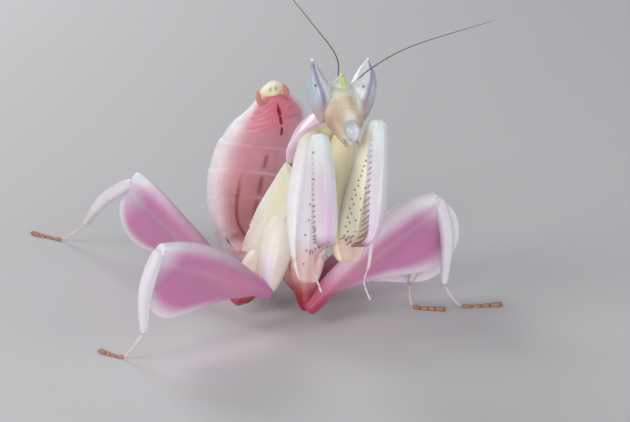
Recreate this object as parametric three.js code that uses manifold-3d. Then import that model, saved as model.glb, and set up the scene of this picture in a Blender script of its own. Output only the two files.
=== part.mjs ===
// Orchid mantis (Hymenopus coronatus), a subadult female at life size, as a still museum model.
// Millimetres, +Z up, the floor at z = 0. The head looks towards -Y and the animal's left is
// on the +X side. She stands on four legs with the forelegs folded and the abdomen curled up.
import * as THREE from "three";
import { mergeVertices } from "three/addons/utils/BufferGeometryUtils.js";
import Module from "manifold-3d";

const wasm = await Module();
wasm.setup();

// ---------------------------------------------------------------- driving dimensions

const GAP = 0.12; // clearance between pieces that touch
const THIN = 0.27; // half thickness of plates and lobes
const ROD = 0.31; // half thickness of feelers and fore feet, out to their corners
const BLUNT = 0.12; // the sweep's rounding for an end that stays thick
const SOLE = 0.24; // height of a foot's centre line over the floor
const STANCE_CENTRE = [-5.8, 5.475, 0]; // middle of the whole stance, which becomes the origin

const at = (x, y, z) => new THREE.Vector3(x, y, z);

// The trunk's own directions: the animal's left, and the way its tail end points.
const YAW = THREE.MathUtils.degToRad(35);
const LEFT = at(Math.cos(YAW), Math.sin(YAW), 0);
const REARWARD = at(-Math.sin(YAW), Math.cos(YAW), 0);

// Centre lines of the trunk, from the head end to the tail end.
const NECK_LINE = [at(1.3, -0.8, 21.2), at(2.5, -3.0, 23.5)];
const PROTHORAX_LINE = [at(1.9, -1.6, 22.2), at(0.1, 0.5, 18.8), at(-1.5, 3.0, 13.8)];
const THORAX_LINE = [at(-1.1, 2.7, 14.9), at(-2.0, 4.0, 11.2), at(-3.4, 5.5, 7.9), at(-4.7, 7.0, 5.2)];
const ABDOMEN_LINE = [
  at(-4.9, 7.3, 4.9),
  at(-5.9, 9.6, 3.6),
  at(-6.5, 12.6, 4.1),
  at(-6.3, 15.2, 7.4),
  at(-5.5, 16.3, 11.8),
  at(-4.4, 15.9, 15.6),
  at(-4.1, 14.9, 18.6),
];
const ABDOMEN_ACROSS = at(0.91, 0.41, 0);
const TAIL_PLATE_LINE = [at(-4.1, 15.0, 18.7), at(-4.1, 14.6, 19.5), at(-4.1, 14.2, 20.2)];
const CERCI = {
  cercus_right: [at(-5.4, 13.8, 17.9), at(-5.6, 13.3, 18.8), at(-5.7, 13.0, 19.8)],
  cercus_left: [at(-2.8, 14.6, 18.6), at(-2.9, 14.2, 19.3), at(-3.3, 13.8, 20.2)],
};

// Where the two thorax rings and the eight abdomen rings end, as shares of their lines.
const THORAX_RINGS = { mesothorax: [0.03, 0.49], metathorax: [0.51, 0.99] };
const RING_ENDS = [0.13, 0.25, 0.37, 0.49, 0.6, 0.725, 0.86, 1];
const RING_GAP = 0.006;
const PINK_RINGS = 6; // the rings past these are coral

// The pronotum lies over the prothorax, and its sides arch down.
const PRONOTUM_LINE = [at(1.9, -1.6, 22.2), at(0.3, 0.2, 19.2), at(-0.9, 2.1, 15.6)];
const PRONOTUM_WIDTH = [2.3, 3.4, 3.65, 3.4, 2.5];
const PRONOTUM_ARCH = 1.9;
const PRONOTUM_SINK = 0.5;

// Wing pads, as steps to the side, headward and dorsal of the mesothorax.
const TRUNK_CENTRE = at(-2.0, 4.0, 11.2);
const TRUNK_HEADWARD = at(0.28, -0.33, 0.9).normalize();
const WING_PADS = {
  forewing_pad: [[2.1, 4.7, 0.7], [2.45, 0.4, 0.6], [2.7, -4.3, 1.9]],
  hindwing_pad: [[2.3, 0.6, 0], [2.7, -3.6, 0.6], [3.0, -7.2, 1.6]],
};
const WING_PAD_DORSAL = [0.5, 0.8, 1.0, 0.8, 0.25]; // width on each side of its line
const WING_PAD_VENTRAL = [1.2, 2.2, 2.6, 2.0, 0.3];

// The head's centre and its own axes: up to the vertex, forward out of the face.
const HEAD_CENTRE = at(2.34, -3.9, 24.2);
const HEAD_UP = at(-0.093, 0.441, 0.893).normalize();
const FACE_YAW = THREE.MathUtils.degToRad(29);
const FACE_RISE = 0.52;

// Lines on the head, from the top down, as steps to the side, up and forward of its centre.
const EYE_LINE = [[2.9, 3.6, 0.7], [2.55, 2.3, 0.5], [2.25, 0.9, 0.25], [2.1, -0.6, -0.1], [1.9, -2.3, -0.3]];
const HORN_LINE = [[0, 2.15, 0.75], [0, 1.4, 0.4], [0, 0.5, 0.1]];
const LABRUM_LINE = [[0, -2.45, 1.65], [0, -3.4, 1.9], [0, -4.35, 1.6]];
const SKULL_LINE = [[0, 1.2, 0.1], [0, 0, 0.1], [0, -1.8, 0.35], [0, -4.7, 0.9]];

// An eye's half width away from and towards the head's middle, its half depth, and how far its
// back leans to the middle past the tip.
const EYE_OUTER = [0.3, 0.38, 0.8, 1.05, 1.12, 1.1, 1.06, 0.9, 0.6];
const EYE_INNER = [0.27, 0.34, 0.54, 0.78, 1.12, 1.25, 1.1, 0.9, 0.6];
const EYE_DEPTH = [0.27, 0.5, 0.9, 1.15, 1.3, 1.3, 1.2, 0.9, 0.6];
const EYE_LEAN = 0.3;
const EYE_LEAN_START = [0.02, 0.25]; // shares between which the lean sets in

// Antennae, from the face out to the tips.
const ANTENNAE = {
  antenna_right: [at(2.06, -4.7, 25.7), at(1.95, -4.2, 28.2), at(-0.5, -0.5, 30.6), at(-5.2, 6.6, 34.6)],
  antenna_left: [at(3.39, -4.1, 25.5), at(5.3, -5.8, 27.7), at(9.0, -4.7, 29.4), at(16.6, -1.5, 30.9)],
};

// Each walking leg: socket in the thorax, hip, knee, ankle, and the foot's heel and toe.
// `crest` is the femur's half depth on the side away from its lobe, and `bow` how far it arches.
// `rake` leans the lobe ahead, so that its rim passes the knee. The lobe is widest at the share
// `lobePeak`, and a larger `lobeRise` makes it spread later from the hip.
const WALKING_LEGS = {
  midleg_right: {
    socket: at(-3.0, 2.6, 10.6),
    hip: at(-4.6, 0.1, 3.2),
    knee: at(-14.1, -9.5, 11.2),
    ankle: at(-15.9, -10, 3.2),
    heel: at(-18, -8.5, SOLE),
    toe: at(-20.5, -6.9, SOLE),
    crest: [0.9, 0.95, 1.1, 1.3, 1.35, 0.9],
    bow: 0.9,
    rake: 0.16,
    lobePeak: 0.62,
    lobeRise: 1.25,
    coxaLook: "lavender",
  },
  midleg_left: {
    socket: at(-1.2, 3.4, 9.2),
    hip: at(-0.8, -0.7, 1.7),
    knee: at(11.7, 4.5, 11.3),
    ankle: at(12.6, 3.6, 2.6),
    heel: at(14.5, 4.1, SOLE),
    toe: at(18.7, 4.6, SOLE),
    crest: [1.1, 1.0, 0.95, 1.4, 1.75, 1.0],
    bow: 0.8,
    rake: 0.34,
    lobePeak: 0.72,
    lobeRise: 1.7,
    coxaLook: "deep_red",
  },
  hindleg_right: {
    socket: at(-4.7, 5.2, 6.2),
    hip: at(-7.1, 1.5, 1.7),
    knee: at(-18.2, 14.8, 9.2),
    ankle: at(-23.9, 19.7, 2.9),
    heel: at(-26.8, 22.7, SOLE),
    toe: at(-30.3, 24.8, SOLE),
    crest: [1.1, 1.0, 0.9, 1.0, 1.5, 1.8],
    bow: 0.8,
    rake: 0.7,
    lobePeak: 0.7,
    lobeRise: 1.7,
    coxaLook: "deep_red",
  },
  hindleg_left: {
    socket: at(-2.9, 6.0, 6.0),
    hip: at(-1.2, 4.2, 1.6),
    knee: at(12.3, 12.7, 8.2),
    ankle: at(9.3, 5.9, 1.8),
    heel: at(9.7, 4.0, SOLE),
    toe: at(13.0, 3.2, SOLE),
    crest: [1.1, 1.0, 0.9, 1.0, 1.2, 1.0],
    bow: 0.8,
    rake: 0.1,
    lobePeak: 0.72,
    lobeRise: 1.7,
    coxaLook: "deep_red",
  },
};
const KNEE_CAP = 0.3; // the femur reaches this far past the knee
const FEMUR_RADIUS = [1.1, 1.0, 0.9, 0.8, 0.8];
const SHIN_BOW = 0.9;

// The petal lobe of each walking femur.
const LOBE_REACH = 6.7; // how far it stands out from the femur's axis
const LOBE_END = 1.04; // share of the femur at which its rim would meet the axis
const LOBE_ROOT = [0.2, 2.4]; // it thins out from the femur between these heights
const LOBE_SETBACK = 0.45; // it stands behind the shin's plane by this much at its root
const LOBE_LEAN = 0.12; // and leans further back by this share of its height

// Each grasping foreleg: socket, bend, the hinge below the coxa, knee, shin tip, claw and foot.
const FORELEGS = {
  foreleg_right: {
    socket: at(-0.1, -1.5, 20.6),
    bend: at(-1.1, -5.0, 14.0),
    hinge: at(-0.6, -9.0, 8.0),
    knee: at(0.5, -7.0, 21.6),
    shin: at(0.9, -12.6, 13.6),
    claw: at(0.3, -11.4, 12.2),
    foot: [at(1.3, -13.0, 13.4), at(0.1, -13.6, 12.3), at(0.1, -13.4, 10.3), at(0.6, -13.4, 8.6)],
  },
  foreleg_left: {
    socket: at(2.9, -1.3, 20.3),
    bend: at(1.9, -5.0, 14.6),
    hinge: at(3.0, -9.0, 10.0),
    knee: at(5.9, -4.8, 22.3),
    shin: at(5.15, -10.8, 13.3),
    claw: at(3.3, -11.5, 12.4),
    foot: [at(5.2, -11.1, 13), at(4.9, -11.3, 10.5), at(4.5, -11.2, 8.8), at(5.1, -11.1, 6.9)],
  },
};
const FORESHIN_BOW = 0.4;
const FORE_THIGH_BOW = 0.1;

// Half width and half depth of each oval piece, from its first end to its last.
const OVALS = {
  horn: [[THIN, 0.36, 0.58, 0.8, 0.9], [THIN, 0.36, 0.55, 0.7, 0.75]],
  labrum: [[0.4, 0.66, 0.5], [0.35, 0.55, 0.35]],
  skull: [[1.3, 1.75, 2.1, 2.0, 0.85], [0.8, 1.15, 1.2, 1.1, 0.75]],
  antenna: [[ROD, ROD, ROD], [ROD, ROD, ROD]],
  neck: [[1.0, 0.9, 0.9], [0.9, 0.8, 0.8]],
  prothorax: [[1.6, 2.5, 2.5, 1.8], [0.9, 1.6, 1.7, 1.5]],
  thorax: [[1.4, 2.1, 2.2, 2.0], [1.3, 1.9, 1.9, 1.6]],
  tailPlate: [[1.2, 0.9, 0.5], [0.7, 0.45, 0.3]],
  cercus: [[0.34, 0.34, 0.25], [0.3, 0.3, 0.25]],
  coxa: [[1.2, 1.45, 1.0], [1.2, 1.45, 1.0]],
  tibia: [[0.74, 0.66, 0.6, 0.54, 0.52], [0.8, 0.74, 0.66, 0.56, 0.52]],
  tarsus: [[0.32, 0.32, 0.3], [0.32, 0.3, 0.28]],
  foreFemur: [[1.2, 1.25, 1.35, 1.5, 1.3], [1.3, 1.6, 1.9, 2.2, 1.6]],
  foreTibia: [[1.0, 0.95, 0.8, THIN], [0.9, 0.8, 0.62, THIN]],
  foreCoxa: [[1.4, 1.4, 1.55, 1.5], [1.3, 1.4, 1.2, 0.9]],
  foreTarsus: [[ROD, ROD], [ROD, ROD]],
};
const ABDOMEN_WIDTH = [1.9, 2.4, 3.1, 4.5, 5.2, 4.9, 3.9, 2.0];
const ABDOMEN_DORSAL = [1.5, 1.7, 1.8, 2.0, 2.1, 1.9, 1.5, 0.9];
const ABDOMEN_VENTRAL = [1.5, 1.8, 2.0, 2.2, 2.2, 1.9, 1.4, 0.8];

const LOOKS = {
  petal_white: { color: 0xf3e6ea, roughness: 0.5, metalness: 0 },
  petal_pink: { color: 0xe2b3c6, roughness: 0.5, metalness: 0 },
  deep_red: { color: 0xa8384a, roughness: 0.5, metalness: 0 },
  cream: { color: 0xf4e6c4, roughness: 0.5, metalness: 0 },
  lavender: { color: 0xe6dcec, roughness: 0.45, metalness: 0 },
  abdomen_pink: { color: 0xd9a5b4, roughness: 0.5, metalness: 0 },
  coral: { color: 0xe98a8f, roughness: 0.5, metalness: 0 },
  yellow: { color: 0xf0e27a, roughness: 0.5, metalness: 0 },
  face: { color: 0xe3d9c6, roughness: 0.45, metalness: 0 },
  eye: { color: 0xcfd6e2, roughness: 0.2, metalness: 0 },
  labrum: { color: 0xdfe7ee, roughness: 0.2, metalness: 0 },
  feeler: { color: 0x6f5a4c, roughness: 0.6, metalness: 0 },
  foot_brown: { color: 0xb8743c, roughness: 0.55, metalness: 0 },
};

// ---------------------------------------------------------------- shape functions

const smoothLine = (points) => new THREE.CatmullRomCurve3(points, false, "catmullrom", 0.5);

// A smooth function of the share 0 to 1 that passes through evenly spaced values.
function profile(values) {
  const graph = new THREE.SplineCurve(values.map((value, i) => new THREE.Vector2(i, value)));
  return (share) => graph.getPoint(share).y;
}

// A solid carried along a line. The section's x axis keeps to `across`, its y axis is square
// to that and to the line. section(share, cos, sin) gives the outline's x and y, and may
// add a step ahead along the line. The ends close as a power `round` of the sine; with
// round = 0 both ends are flat. `from` and `to` choose a stretch of the line.
function sweep({ line, across, section, sides = 10, rings = 8, round = 0.5, from = 0, to = 1 }) {
  const path = smoothLine(line);
  const geometry = round
    ? new THREE.SphereGeometry(1, sides, rings)
    : new THREE.CylinderGeometry(1, 1, 2, sides, rings);
  const place = geometry.attributes.position;
  for (let i = 0; i < place.count; i++) {
    const source = new THREE.Vector3().fromBufferAttribute(place, i);
    const share = THREE.MathUtils.lerp(from, to, (1 - source.y) / 2);
    const reach = Math.hypot(source.x, source.z);
    const tangent = path.getTangent(share);
    const xAxis = across.clone().addScaledVector(tangent, -across.dot(tangent)).normalize();
    const yAxis = new THREE.Vector3().crossVectors(tangent, xAxis);
    const point = path.getPoint(share);
    if (reach > 1e-6) {
      const [x, y, ahead = 0] = section(share, source.x / reach, source.z / reach);
      const swell = round ? reach ** round : reach;
      point.addScaledVector(xAxis, x * swell).addScaledVector(yAxis, y * swell);
      point.addScaledVector(tangent, ahead * swell);
    }
    place.setXYZ(i, point.x, point.y, point.z);
  }
  return geometry;
}

// The oval section of a named piece, and one whose two sides along y differ.
function oval(piece) {
  const [width, depth] = OVALS[piece].map(profile);
  return (share, cos, sin) => [width(share) * cos, depth(share) * sin];
}
function egg(width, plusY, minusY) {
  return (share, cos, sin) => [width(share) * cos, (sin > 0 ? plusY : minusY)(share) * sin];
}

// An even-thickness leaf whose middle arches by `arch` towards -y. Its two sides along x may differ.
function leaf(plusX, minusX, arch) {
  const [plus, minus] = [profile(plusX), profile(minusX)];
  return (share, cos, sin) => [
    (cos > 0 ? plus : minus)(share) * cos,
    THIN * sin - arch * sin * sin,
  ];
}

// ---------------------------------------------------------------- joining and cutting

function solidOf(geometry) {
  const bare = geometry.clone();
  bare.deleteAttribute("normal");
  bare.deleteAttribute("uv");
  const merged = mergeVertices(bare, 1e-4);
  const mesh = new wasm.Mesh({
    numProp: 3,
    vertProperties: merged.attributes.position.array,
    triVerts: new Uint32Array(merged.index.array),
  });
  return new wasm.Manifold(mesh);
}

function geometryOf(solid) {
  const mesh = solid.getMesh();
  const geometry = new THREE.BufferGeometry();
  geometry.setAttribute("position", new THREE.BufferAttribute(mesh.vertProperties, 3));
  geometry.setIndex(new THREE.BufferAttribute(mesh.triVerts, 1));
  geometry.computeVertexNormals();
  return geometry;
}

// The same solid with its surface moved outwards by `by`.
function grown(geometry, by) {
  const place = geometry.attributes.position;
  const normal = geometry.attributes.normal;
  const moved = geometry.clone();
  for (let i = 0; i < place.count; i++) {
    moved.attributes.position.setXYZ(
      i,
      place.getX(i) + by * normal.getX(i),
      place.getY(i) + by * normal.getY(i),
      place.getZ(i) + by * normal.getZ(i),
    );
  }
  return solidOf(moved);
}

const mantis = new THREE.Group();
mantis.position.set(-STANCE_CENTRE[0], -STANCE_CENTRE[1], -STANCE_CENTRE[2]);
const made = [];

// Adds a named piece. It gives way, with a gap, to every piece made before it.
function add(name, look, geometry, cutters = []) {
  let solid = solidOf(geometry);
  for (const cutter of cutters) {
    solid = solid.subtract(cutter);
  }
  geometry.computeBoundingBox();
  for (const earlier of made) {
    if (earlier.box.intersectsBox(geometry.boundingBox)) {
      solid = solid.subtract(earlier.keepOut);
    }
  }
  const bodies = solid.decompose().sort((a, b) => b.volume() - a.volume());
  const shape = geometryOf(bodies[0]);
  shape.computeBoundingBox();
  const box = shape.boundingBox.clone().expandByScalar(2 * GAP);
  made.push({ box, keepOut: grown(shape, GAP) });
  const mesh = new THREE.Mesh(shape, new THREE.MeshStandardMaterial(LOOKS[look]));
  mesh.name = name;
  mantis.add(mesh);
}

// ---------------------------------------------------------------- head

const HEAD_FORWARD = at(Math.sin(FACE_YAW), -Math.cos(FACE_YAW), FACE_RISE);
HEAD_FORWARD.addScaledVector(HEAD_UP, -HEAD_FORWARD.dot(HEAD_UP)).normalize();
const HEAD_LEFT = new THREE.Vector3().crossVectors(HEAD_UP, HEAD_FORWARD);

// A line on the head from its steps; side = -1 gives the right-hand twin.
const headLine = (steps, side = 1) =>
  steps.map(([out, up, forward]) =>
    HEAD_CENTRE.clone()
      .addScaledVector(HEAD_LEFT, side * out)
      .addScaledVector(HEAD_UP, up)
      .addScaledVector(HEAD_FORWARD, forward));

// An eye's section, full on its outer side. Its back leans to the head's middle below the tip.
function eyeSection(side) {
  const [outer, inner, depth] = [EYE_OUTER, EYE_INNER, EYE_DEPTH].map(profile);
  return (share, cos, sin) => {
    const width = (side * cos > 0 ? outer : inner)(share);
    const lean = EYE_LEAN * THREE.MathUtils.smoothstep(share, ...EYE_LEAN_START);
    return [width * cos + side * lean * sin, depth(share) * sin];
  };
}

function makeHead() {
  for (const [side, name] of [[-1, "eye_right"], [1, "eye_left"]]) {
    const line = headLine(EYE_LINE, side);
    add(name, "eye", sweep({ line, across: HEAD_LEFT, section: eyeSection(side), rings: 10 }));
  }

  add("vertex_horn", "yellow", sweep({
    line: headLine(HORN_LINE),
    across: HEAD_LEFT,
    section: oval("horn"),
    sides: 8,
    rings: 6,
  }));

  add("labrum", "labrum", sweep({
    line: headLine(LABRUM_LINE),
    across: HEAD_LEFT,
    section: oval("labrum"),
    rings: 6,
  }));

  add("head", "face", sweep({
    line: headLine(SKULL_LINE),
    across: HEAD_LEFT,
    section: oval("skull"),
    sides: 14,
    rings: 9,
    round: 0.45,
  }));

  for (const [name, line] of Object.entries(ANTENNAE)) {
    add(name, "feeler", sweep({
      line,
      across: HEAD_FORWARD,
      section: oval("antenna"),
      sides: 8,
      round: BLUNT,
      rings: 10,
    }));
  }
}

// ---------------------------------------------------------------- thorax and wing pads

const TRUNK_DORSAL = new THREE.Vector3().crossVectors(TRUNK_HEADWARD, LEFT).normalize();

function makeThorax() {
  add("pronotum", "petal_pink", sweep({
    line: PRONOTUM_LINE.map((point) => point.clone().addScaledVector(TRUNK_DORSAL, -PRONOTUM_SINK)),
    across: LEFT,
    section: leaf(PRONOTUM_WIDTH, PRONOTUM_WIDTH, PRONOTUM_ARCH),
    sides: 12,
    rings: 8,
  }));

  add("prothorax", "cream", sweep({
    line: PROTHORAX_LINE,
    across: LEFT,
    section: oval("prothorax"),
    round: 0.35,
  }));

  for (const [name, [from, to]] of Object.entries(THORAX_RINGS)) {
    add(name, "cream", sweep({
      line: THORAX_LINE,
      across: LEFT,
      section: oval("thorax"),
      sides: 12,
      rings: 3,
      round: 0,
      from,
      to,
    }));
  }

  add("neck", "cream", sweep({ line: NECK_LINE, across: LEFT, section: oval("neck"), rings: 5 }));

  for (const [side, word] of [[-1, "right"], [1, "left"]]) {
    for (const [name, steps] of Object.entries(WING_PADS)) {
      const line = steps.map(([out, headward, dorsal]) =>
        TRUNK_CENTRE.clone()
          .addScaledVector(LEFT, side * out)
          .addScaledVector(TRUNK_HEADWARD, headward)
          .addScaledVector(TRUNK_DORSAL, dorsal));
      const section = leaf(WING_PAD_DORSAL, WING_PAD_VENTRAL, 0);
      add(name + "_" + word, "cream", sweep({ line, across: TRUNK_DORSAL, section, sides: 8 }));
    }
  }
}

// ---------------------------------------------------------------- abdomen

function makeAbdomen() {
  const section = egg(profile(ABDOMEN_WIDTH), profile(ABDOMEN_VENTRAL), profile(ABDOMEN_DORSAL));
  RING_ENDS.forEach((end, i) => {
    add("abdomen_" + (i + 1), i < PINK_RINGS ? "abdomen_pink" : "coral", sweep({
      line: ABDOMEN_LINE,
      across: ABDOMEN_ACROSS,
      section,
      sides: 14,
      rings: 2,
      round: 0,
      from: i ? RING_ENDS[i - 1] + RING_GAP : 0,
      to: end,
    }));
  });

  add("supra_anal_plate", "yellow", sweep({
    line: TAIL_PLATE_LINE,
    across: ABDOMEN_ACROSS,
    section: oval("tailPlate"),
    sides: 8,
    rings: 5,
  }));

  for (const [name, line] of Object.entries(CERCI)) {
    add(name, "coral", sweep({
      line,
      across: ABDOMEN_ACROSS,
      section: oval("cercus"),
      sides: 8,
      rings: 5,
    }));
  }
}

// ---------------------------------------------------------------- walking legs

const femurRadius = profile(FEMUR_RADIUS);

// The lobe's outline: a rising sine to its peak, then a quarter ellipse down to the knee.
function lobeShare(peak, rise, share) {
  if (share < peak) {
    return Math.sin((Math.PI / 2) * (share / peak)) ** rise;
  }
  const past = Math.min(1, (share - peak) / (LOBE_END - peak));
  return Math.sqrt(1 - past * past);
}

// The femur's section: a round stem that thins out on its +y side into the lobe.
function lobedSection(rear, { crest, rake, lobePeak, lobeRise }) {
  const crestDepth = profile(crest);
  return (share, cos, sin) => {
    const radius = femurRadius(share);
    if (sin <= 0) {
      return [radius * cos, crestDepth(share) * sin];
    }
    const reach = Math.max(radius, LOBE_REACH * lobeShare(lobePeak, lobeRise, share));
    const y = reach * sin;
    const blend = THREE.MathUtils.smoothstep(y, ...LOBE_ROOT);
    const half = THREE.MathUtils.lerp(radius, THIN / Math.max(Math.abs(cos), 0.5), blend);
    return [half * cos + rear * (LOBE_SETBACK * blend + LOBE_LEAN * y), y, rake * y * blend];
  };
}

function makeWalkingLeg(name, leg, floorCut) {
  const { socket, hip, knee, ankle, heel, toe, bow, coxaLook } = leg;
  const femurWay = knee.clone().sub(hip).normalize();
  const shinWay = ankle.clone().sub(knee);
  const flexor = shinWay.clone().addScaledVector(femurWay, -shinWay.dot(femurWay)).normalize();
  const across = new THREE.Vector3().crossVectors(flexor, femurWay);
  const rear = Math.sign(across.dot(REARWARD));
  const kneeTip = knee.clone().addScaledVector(femurWay, KNEE_CAP);

  add(name + "_coxa", coxaLook, sweep({ line: [socket, hip], across, section: oval("coxa") }));

  const thigh = hip.clone().lerp(knee, 0.5).addScaledVector(flexor, -bow);
  add(name + "_femur", "petal_pink", sweep({
    line: [hip, thigh, kneeTip],
    across,
    section: lobedSection(rear, leg),
    sides: 12,
    rings: 11,
    round: 0.2,
  }));

  const shin = knee.clone().lerp(ankle, 0.5).addScaledVector(femurWay, SHIN_BOW);
  add(name + "_tibia", "petal_white", sweep({
    line: [kneeTip, shin, ankle],
    across,
    section: oval("tibia"),
    sides: 8,
  }));

  add(name + "_tarsus", "foot_brown", sweep({
    line: [ankle, heel, toe],
    across: at(0, 0, 1),
    section: oval("tarsus"),
    round: BLUNT,
    sides: 8,
  }), [floorCut]);
}

// ---------------------------------------------------------------- forelegs

function makeForeleg(name, leg) {
  const { socket, bend, hinge, knee, shin, claw, foot } = leg;
  const femurWay = hinge.clone().sub(knee).normalize();
  const shinWay = shin.clone().sub(knee);
  const inward = shinWay.clone().addScaledVector(femurWay, -shinWay.dot(femurWay)).normalize();
  const across = new THREE.Vector3().crossVectors(inward, femurWay);

  const thigh = knee.clone().lerp(hinge, 0.5).addScaledVector(inward, -FORE_THIGH_BOW);
  add(name + "_femur", "lavender", sweep({
    line: [knee, thigh, hinge],
    across,
    section: oval("foreFemur"),
    sides: 12,
    rings: 10,
  }));

  const middle = knee.clone().lerp(shin, 0.5).addScaledVector(inward, FORESHIN_BOW);
  add(name + "_tibia", "petal_white", sweep({
    line: [knee, middle, shin, claw],
    across,
    section: oval("foreTibia"),
    rings: 10,
  }));

  add(name + "_coxa", "cream", sweep({
    line: [socket, bend, hinge],
    across: LEFT,
    section: oval("foreCoxa"),
    rings: 9,
  }));

  add(name + "_tarsus", "petal_white", sweep({
    line: foot,
    across,
    section: oval("foreTarsus"),
    sides: 8,
    round: BLUNT,
    rings: 10,
  }));
}

// ---------------------------------------------------------------- the whole animal

makeHead();
makeThorax();
makeAbdomen();

const FLOOR_BLOCK = [120, 120, 10];
const floorBlock = new THREE.BoxGeometry(...FLOOR_BLOCK);
floorBlock.translate(0, 0, -FLOOR_BLOCK[2] / 2);
const floorCut = solidOf(floorBlock);
for (const [name, leg] of Object.entries(WALKING_LEGS)) {
  makeWalkingLeg(name, leg, floorCut);
}
for (const [name, leg] of Object.entries(FORELEGS)) {
  makeForeleg(name, leg);
}

export default mantis;
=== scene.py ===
"""Orchid mantis, a late female nymph at life size: the fine surfaces and finishes of the still model.

Every piece is a surface worked out with numpy in the stance's own millimetres and then set in the
frame. The line and outline tables repeat the driving dimensions of the part.
"""
import math

import bpy
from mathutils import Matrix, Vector
import numpy as np
from bpy.props import FloatProperty, FloatVectorProperty, PointerProperty
from bpy.types import Operator, Panel, PropertyGroup


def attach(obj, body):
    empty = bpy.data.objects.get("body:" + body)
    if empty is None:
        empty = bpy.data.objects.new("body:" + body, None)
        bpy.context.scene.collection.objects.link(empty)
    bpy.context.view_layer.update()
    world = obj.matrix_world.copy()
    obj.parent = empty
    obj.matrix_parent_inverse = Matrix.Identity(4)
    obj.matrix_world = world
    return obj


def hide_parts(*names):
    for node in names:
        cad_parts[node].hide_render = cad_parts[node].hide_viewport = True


bl_info = {
    "name": "Orchid Mantis",
    "version": (1, 0, 0),
    "blender": (4, 5, 0),
    "location": "View3D > Sidebar > Mantis",
    "description": "Builds a life-size orchid mantis nymph around its packed frame",
    "category": "Add Mesh",
}

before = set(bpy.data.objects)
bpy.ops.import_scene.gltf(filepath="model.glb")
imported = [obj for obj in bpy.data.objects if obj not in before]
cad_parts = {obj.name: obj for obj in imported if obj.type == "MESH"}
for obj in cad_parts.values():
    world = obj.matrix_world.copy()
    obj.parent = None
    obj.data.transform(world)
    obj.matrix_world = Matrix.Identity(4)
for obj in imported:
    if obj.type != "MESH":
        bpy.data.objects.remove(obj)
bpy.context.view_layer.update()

MM = 0.001
BODY = "root"
STANCE_CENTRE = np.array([-5.8, 5.475, 0.0])

# ---------------------------------------------------------------- driving dimensions, in mm

SOLE = 0.24
THIN = 0.27
YAW = math.radians(35)
LEFT = np.array([math.cos(YAW), math.sin(YAW), 0.0])
REARWARD = np.array([-math.sin(YAW), math.cos(YAW), 0.0])
UPWARD = np.array([0.0, 0.0, 1.0])

NECK_LINE = [(1.3, -0.8, 21.2), (2.5, -3.0, 23.5)]
PROTHORAX_LINE = [(1.9, -1.6, 22.2), (0.1, 0.5, 18.8), (-1.5, 3.0, 13.8)]
THORAX_LINE = [(-1.1, 2.7, 14.9), (-2.0, 4.0, 11.2), (-3.4, 5.5, 7.9), (-4.7, 7.0, 5.2)]
ABDOMEN_LINE = [
    (-4.9, 7.3, 4.9), (-5.9, 9.6, 3.6), (-6.5, 12.6, 4.1), (-6.3, 15.2, 7.4),
    (-5.5, 16.3, 11.8), (-4.4, 15.9, 15.6), (-4.1, 14.9, 18.6),
]
ABDOMEN_ACROSS = np.array([0.91, 0.41, 0.0])
ABDOMEN_WIDTH = [1.9, 2.4, 3.1, 4.5, 5.2, 4.9, 3.9, 2.0]
ABDOMEN_DORSAL = [1.5, 1.7, 1.8, 2.0, 2.1, 1.9, 1.5, 0.9]
ABDOMEN_VENTRAL = [1.5, 1.8, 2.0, 2.2, 2.2, 1.9, 1.4, 0.8]
RING_ENDS = [0.13, 0.25, 0.37, 0.49, 0.6, 0.725, 0.86, 1.0]
TAIL_PLATE_LINE = [(-4.1, 15.0, 18.7), (-4.1, 14.6, 19.5), (-4.1, 14.2, 20.2)]
CERCI = {
    "cercus_right": [(-5.4, 13.8, 17.9), (-5.6, 13.3, 18.8), (-5.7, 13.0, 19.8)],
    "cercus_left": [(-2.8, 14.6, 18.6), (-2.9, 14.2, 19.3), (-3.3, 13.8, 20.2)],
}

PRONOTUM_LINE = [(1.9, -1.6, 22.2), (0.3, 0.2, 19.2), (-0.9, 2.1, 15.6)]
PRONOTUM_WIDTH = [2.3, 3.4, 3.65, 3.4, 2.5]
PRONOTUM_ARCH = 1.9
PRONOTUM_SINK = 0.5
TRUNK_CENTRE = np.array([-2.0, 4.0, 11.2])
TRUNK_LEAN = (0.28, -0.33, 0.9)
WING_PADS = {
    "forewing_pad": [(2.0, 4.8, 0.7), (2.4, 0.4, 0.6), (2.7, -4.3, 1.9)],
    "hindwing_pad": [(2.3, 0.6, 0), (2.7, -3.6, 0.6), (3.0, -7.2, 1.6)],
}
WING_PAD_DORSAL = [0.5, 0.8, 1.0, 0.8, 0.2]
WING_PAD_VENTRAL = [1.2, 2.2, 2.6, 2.0, 0.3]

HEAD_CENTRE = np.array([2.34, -3.9, 24.2])
HEAD_TILT = (-0.093, 0.441, 0.893)
FACE_YAW = math.radians(29)
FACE_RISE = 0.52
EYE_LINE = [(2.9, 3.6, 0.7), (2.55, 2.3, 0.5), (2.25, 0.9, 0.25), (2.1, -0.6, -0.1), (1.9, -2.3, -0.3)]
HORN_LINE = [(0, 2.15, 0.75), (0, 1.4, 0.4), (0, 0.3, 0)]
LABRUM_LINE = [(0, -2.45, 1.65), (0, -3.4, 1.9), (0, -4.35, 1.6)]
SKULL_LINE = [(0, 1.2, 0.1), (0, 0, 0.1), (0, -1.8, 0.35), (0, -4.7, 0.9)]
ANTENNAE = {
    "antenna_right": [(2.06, -4.7, 25.7), (1.95, -4.2, 28.2), (-0.5, -0.5, 30.6), (-5.2, 6.6, 34.6)],
    "antenna_left": [(3.39, -4.1, 25.5), (5.3, -5.8, 27.7), (9.0, -4.7, 29.4), (16.6, -1.5, 30.9)],
}

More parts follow.
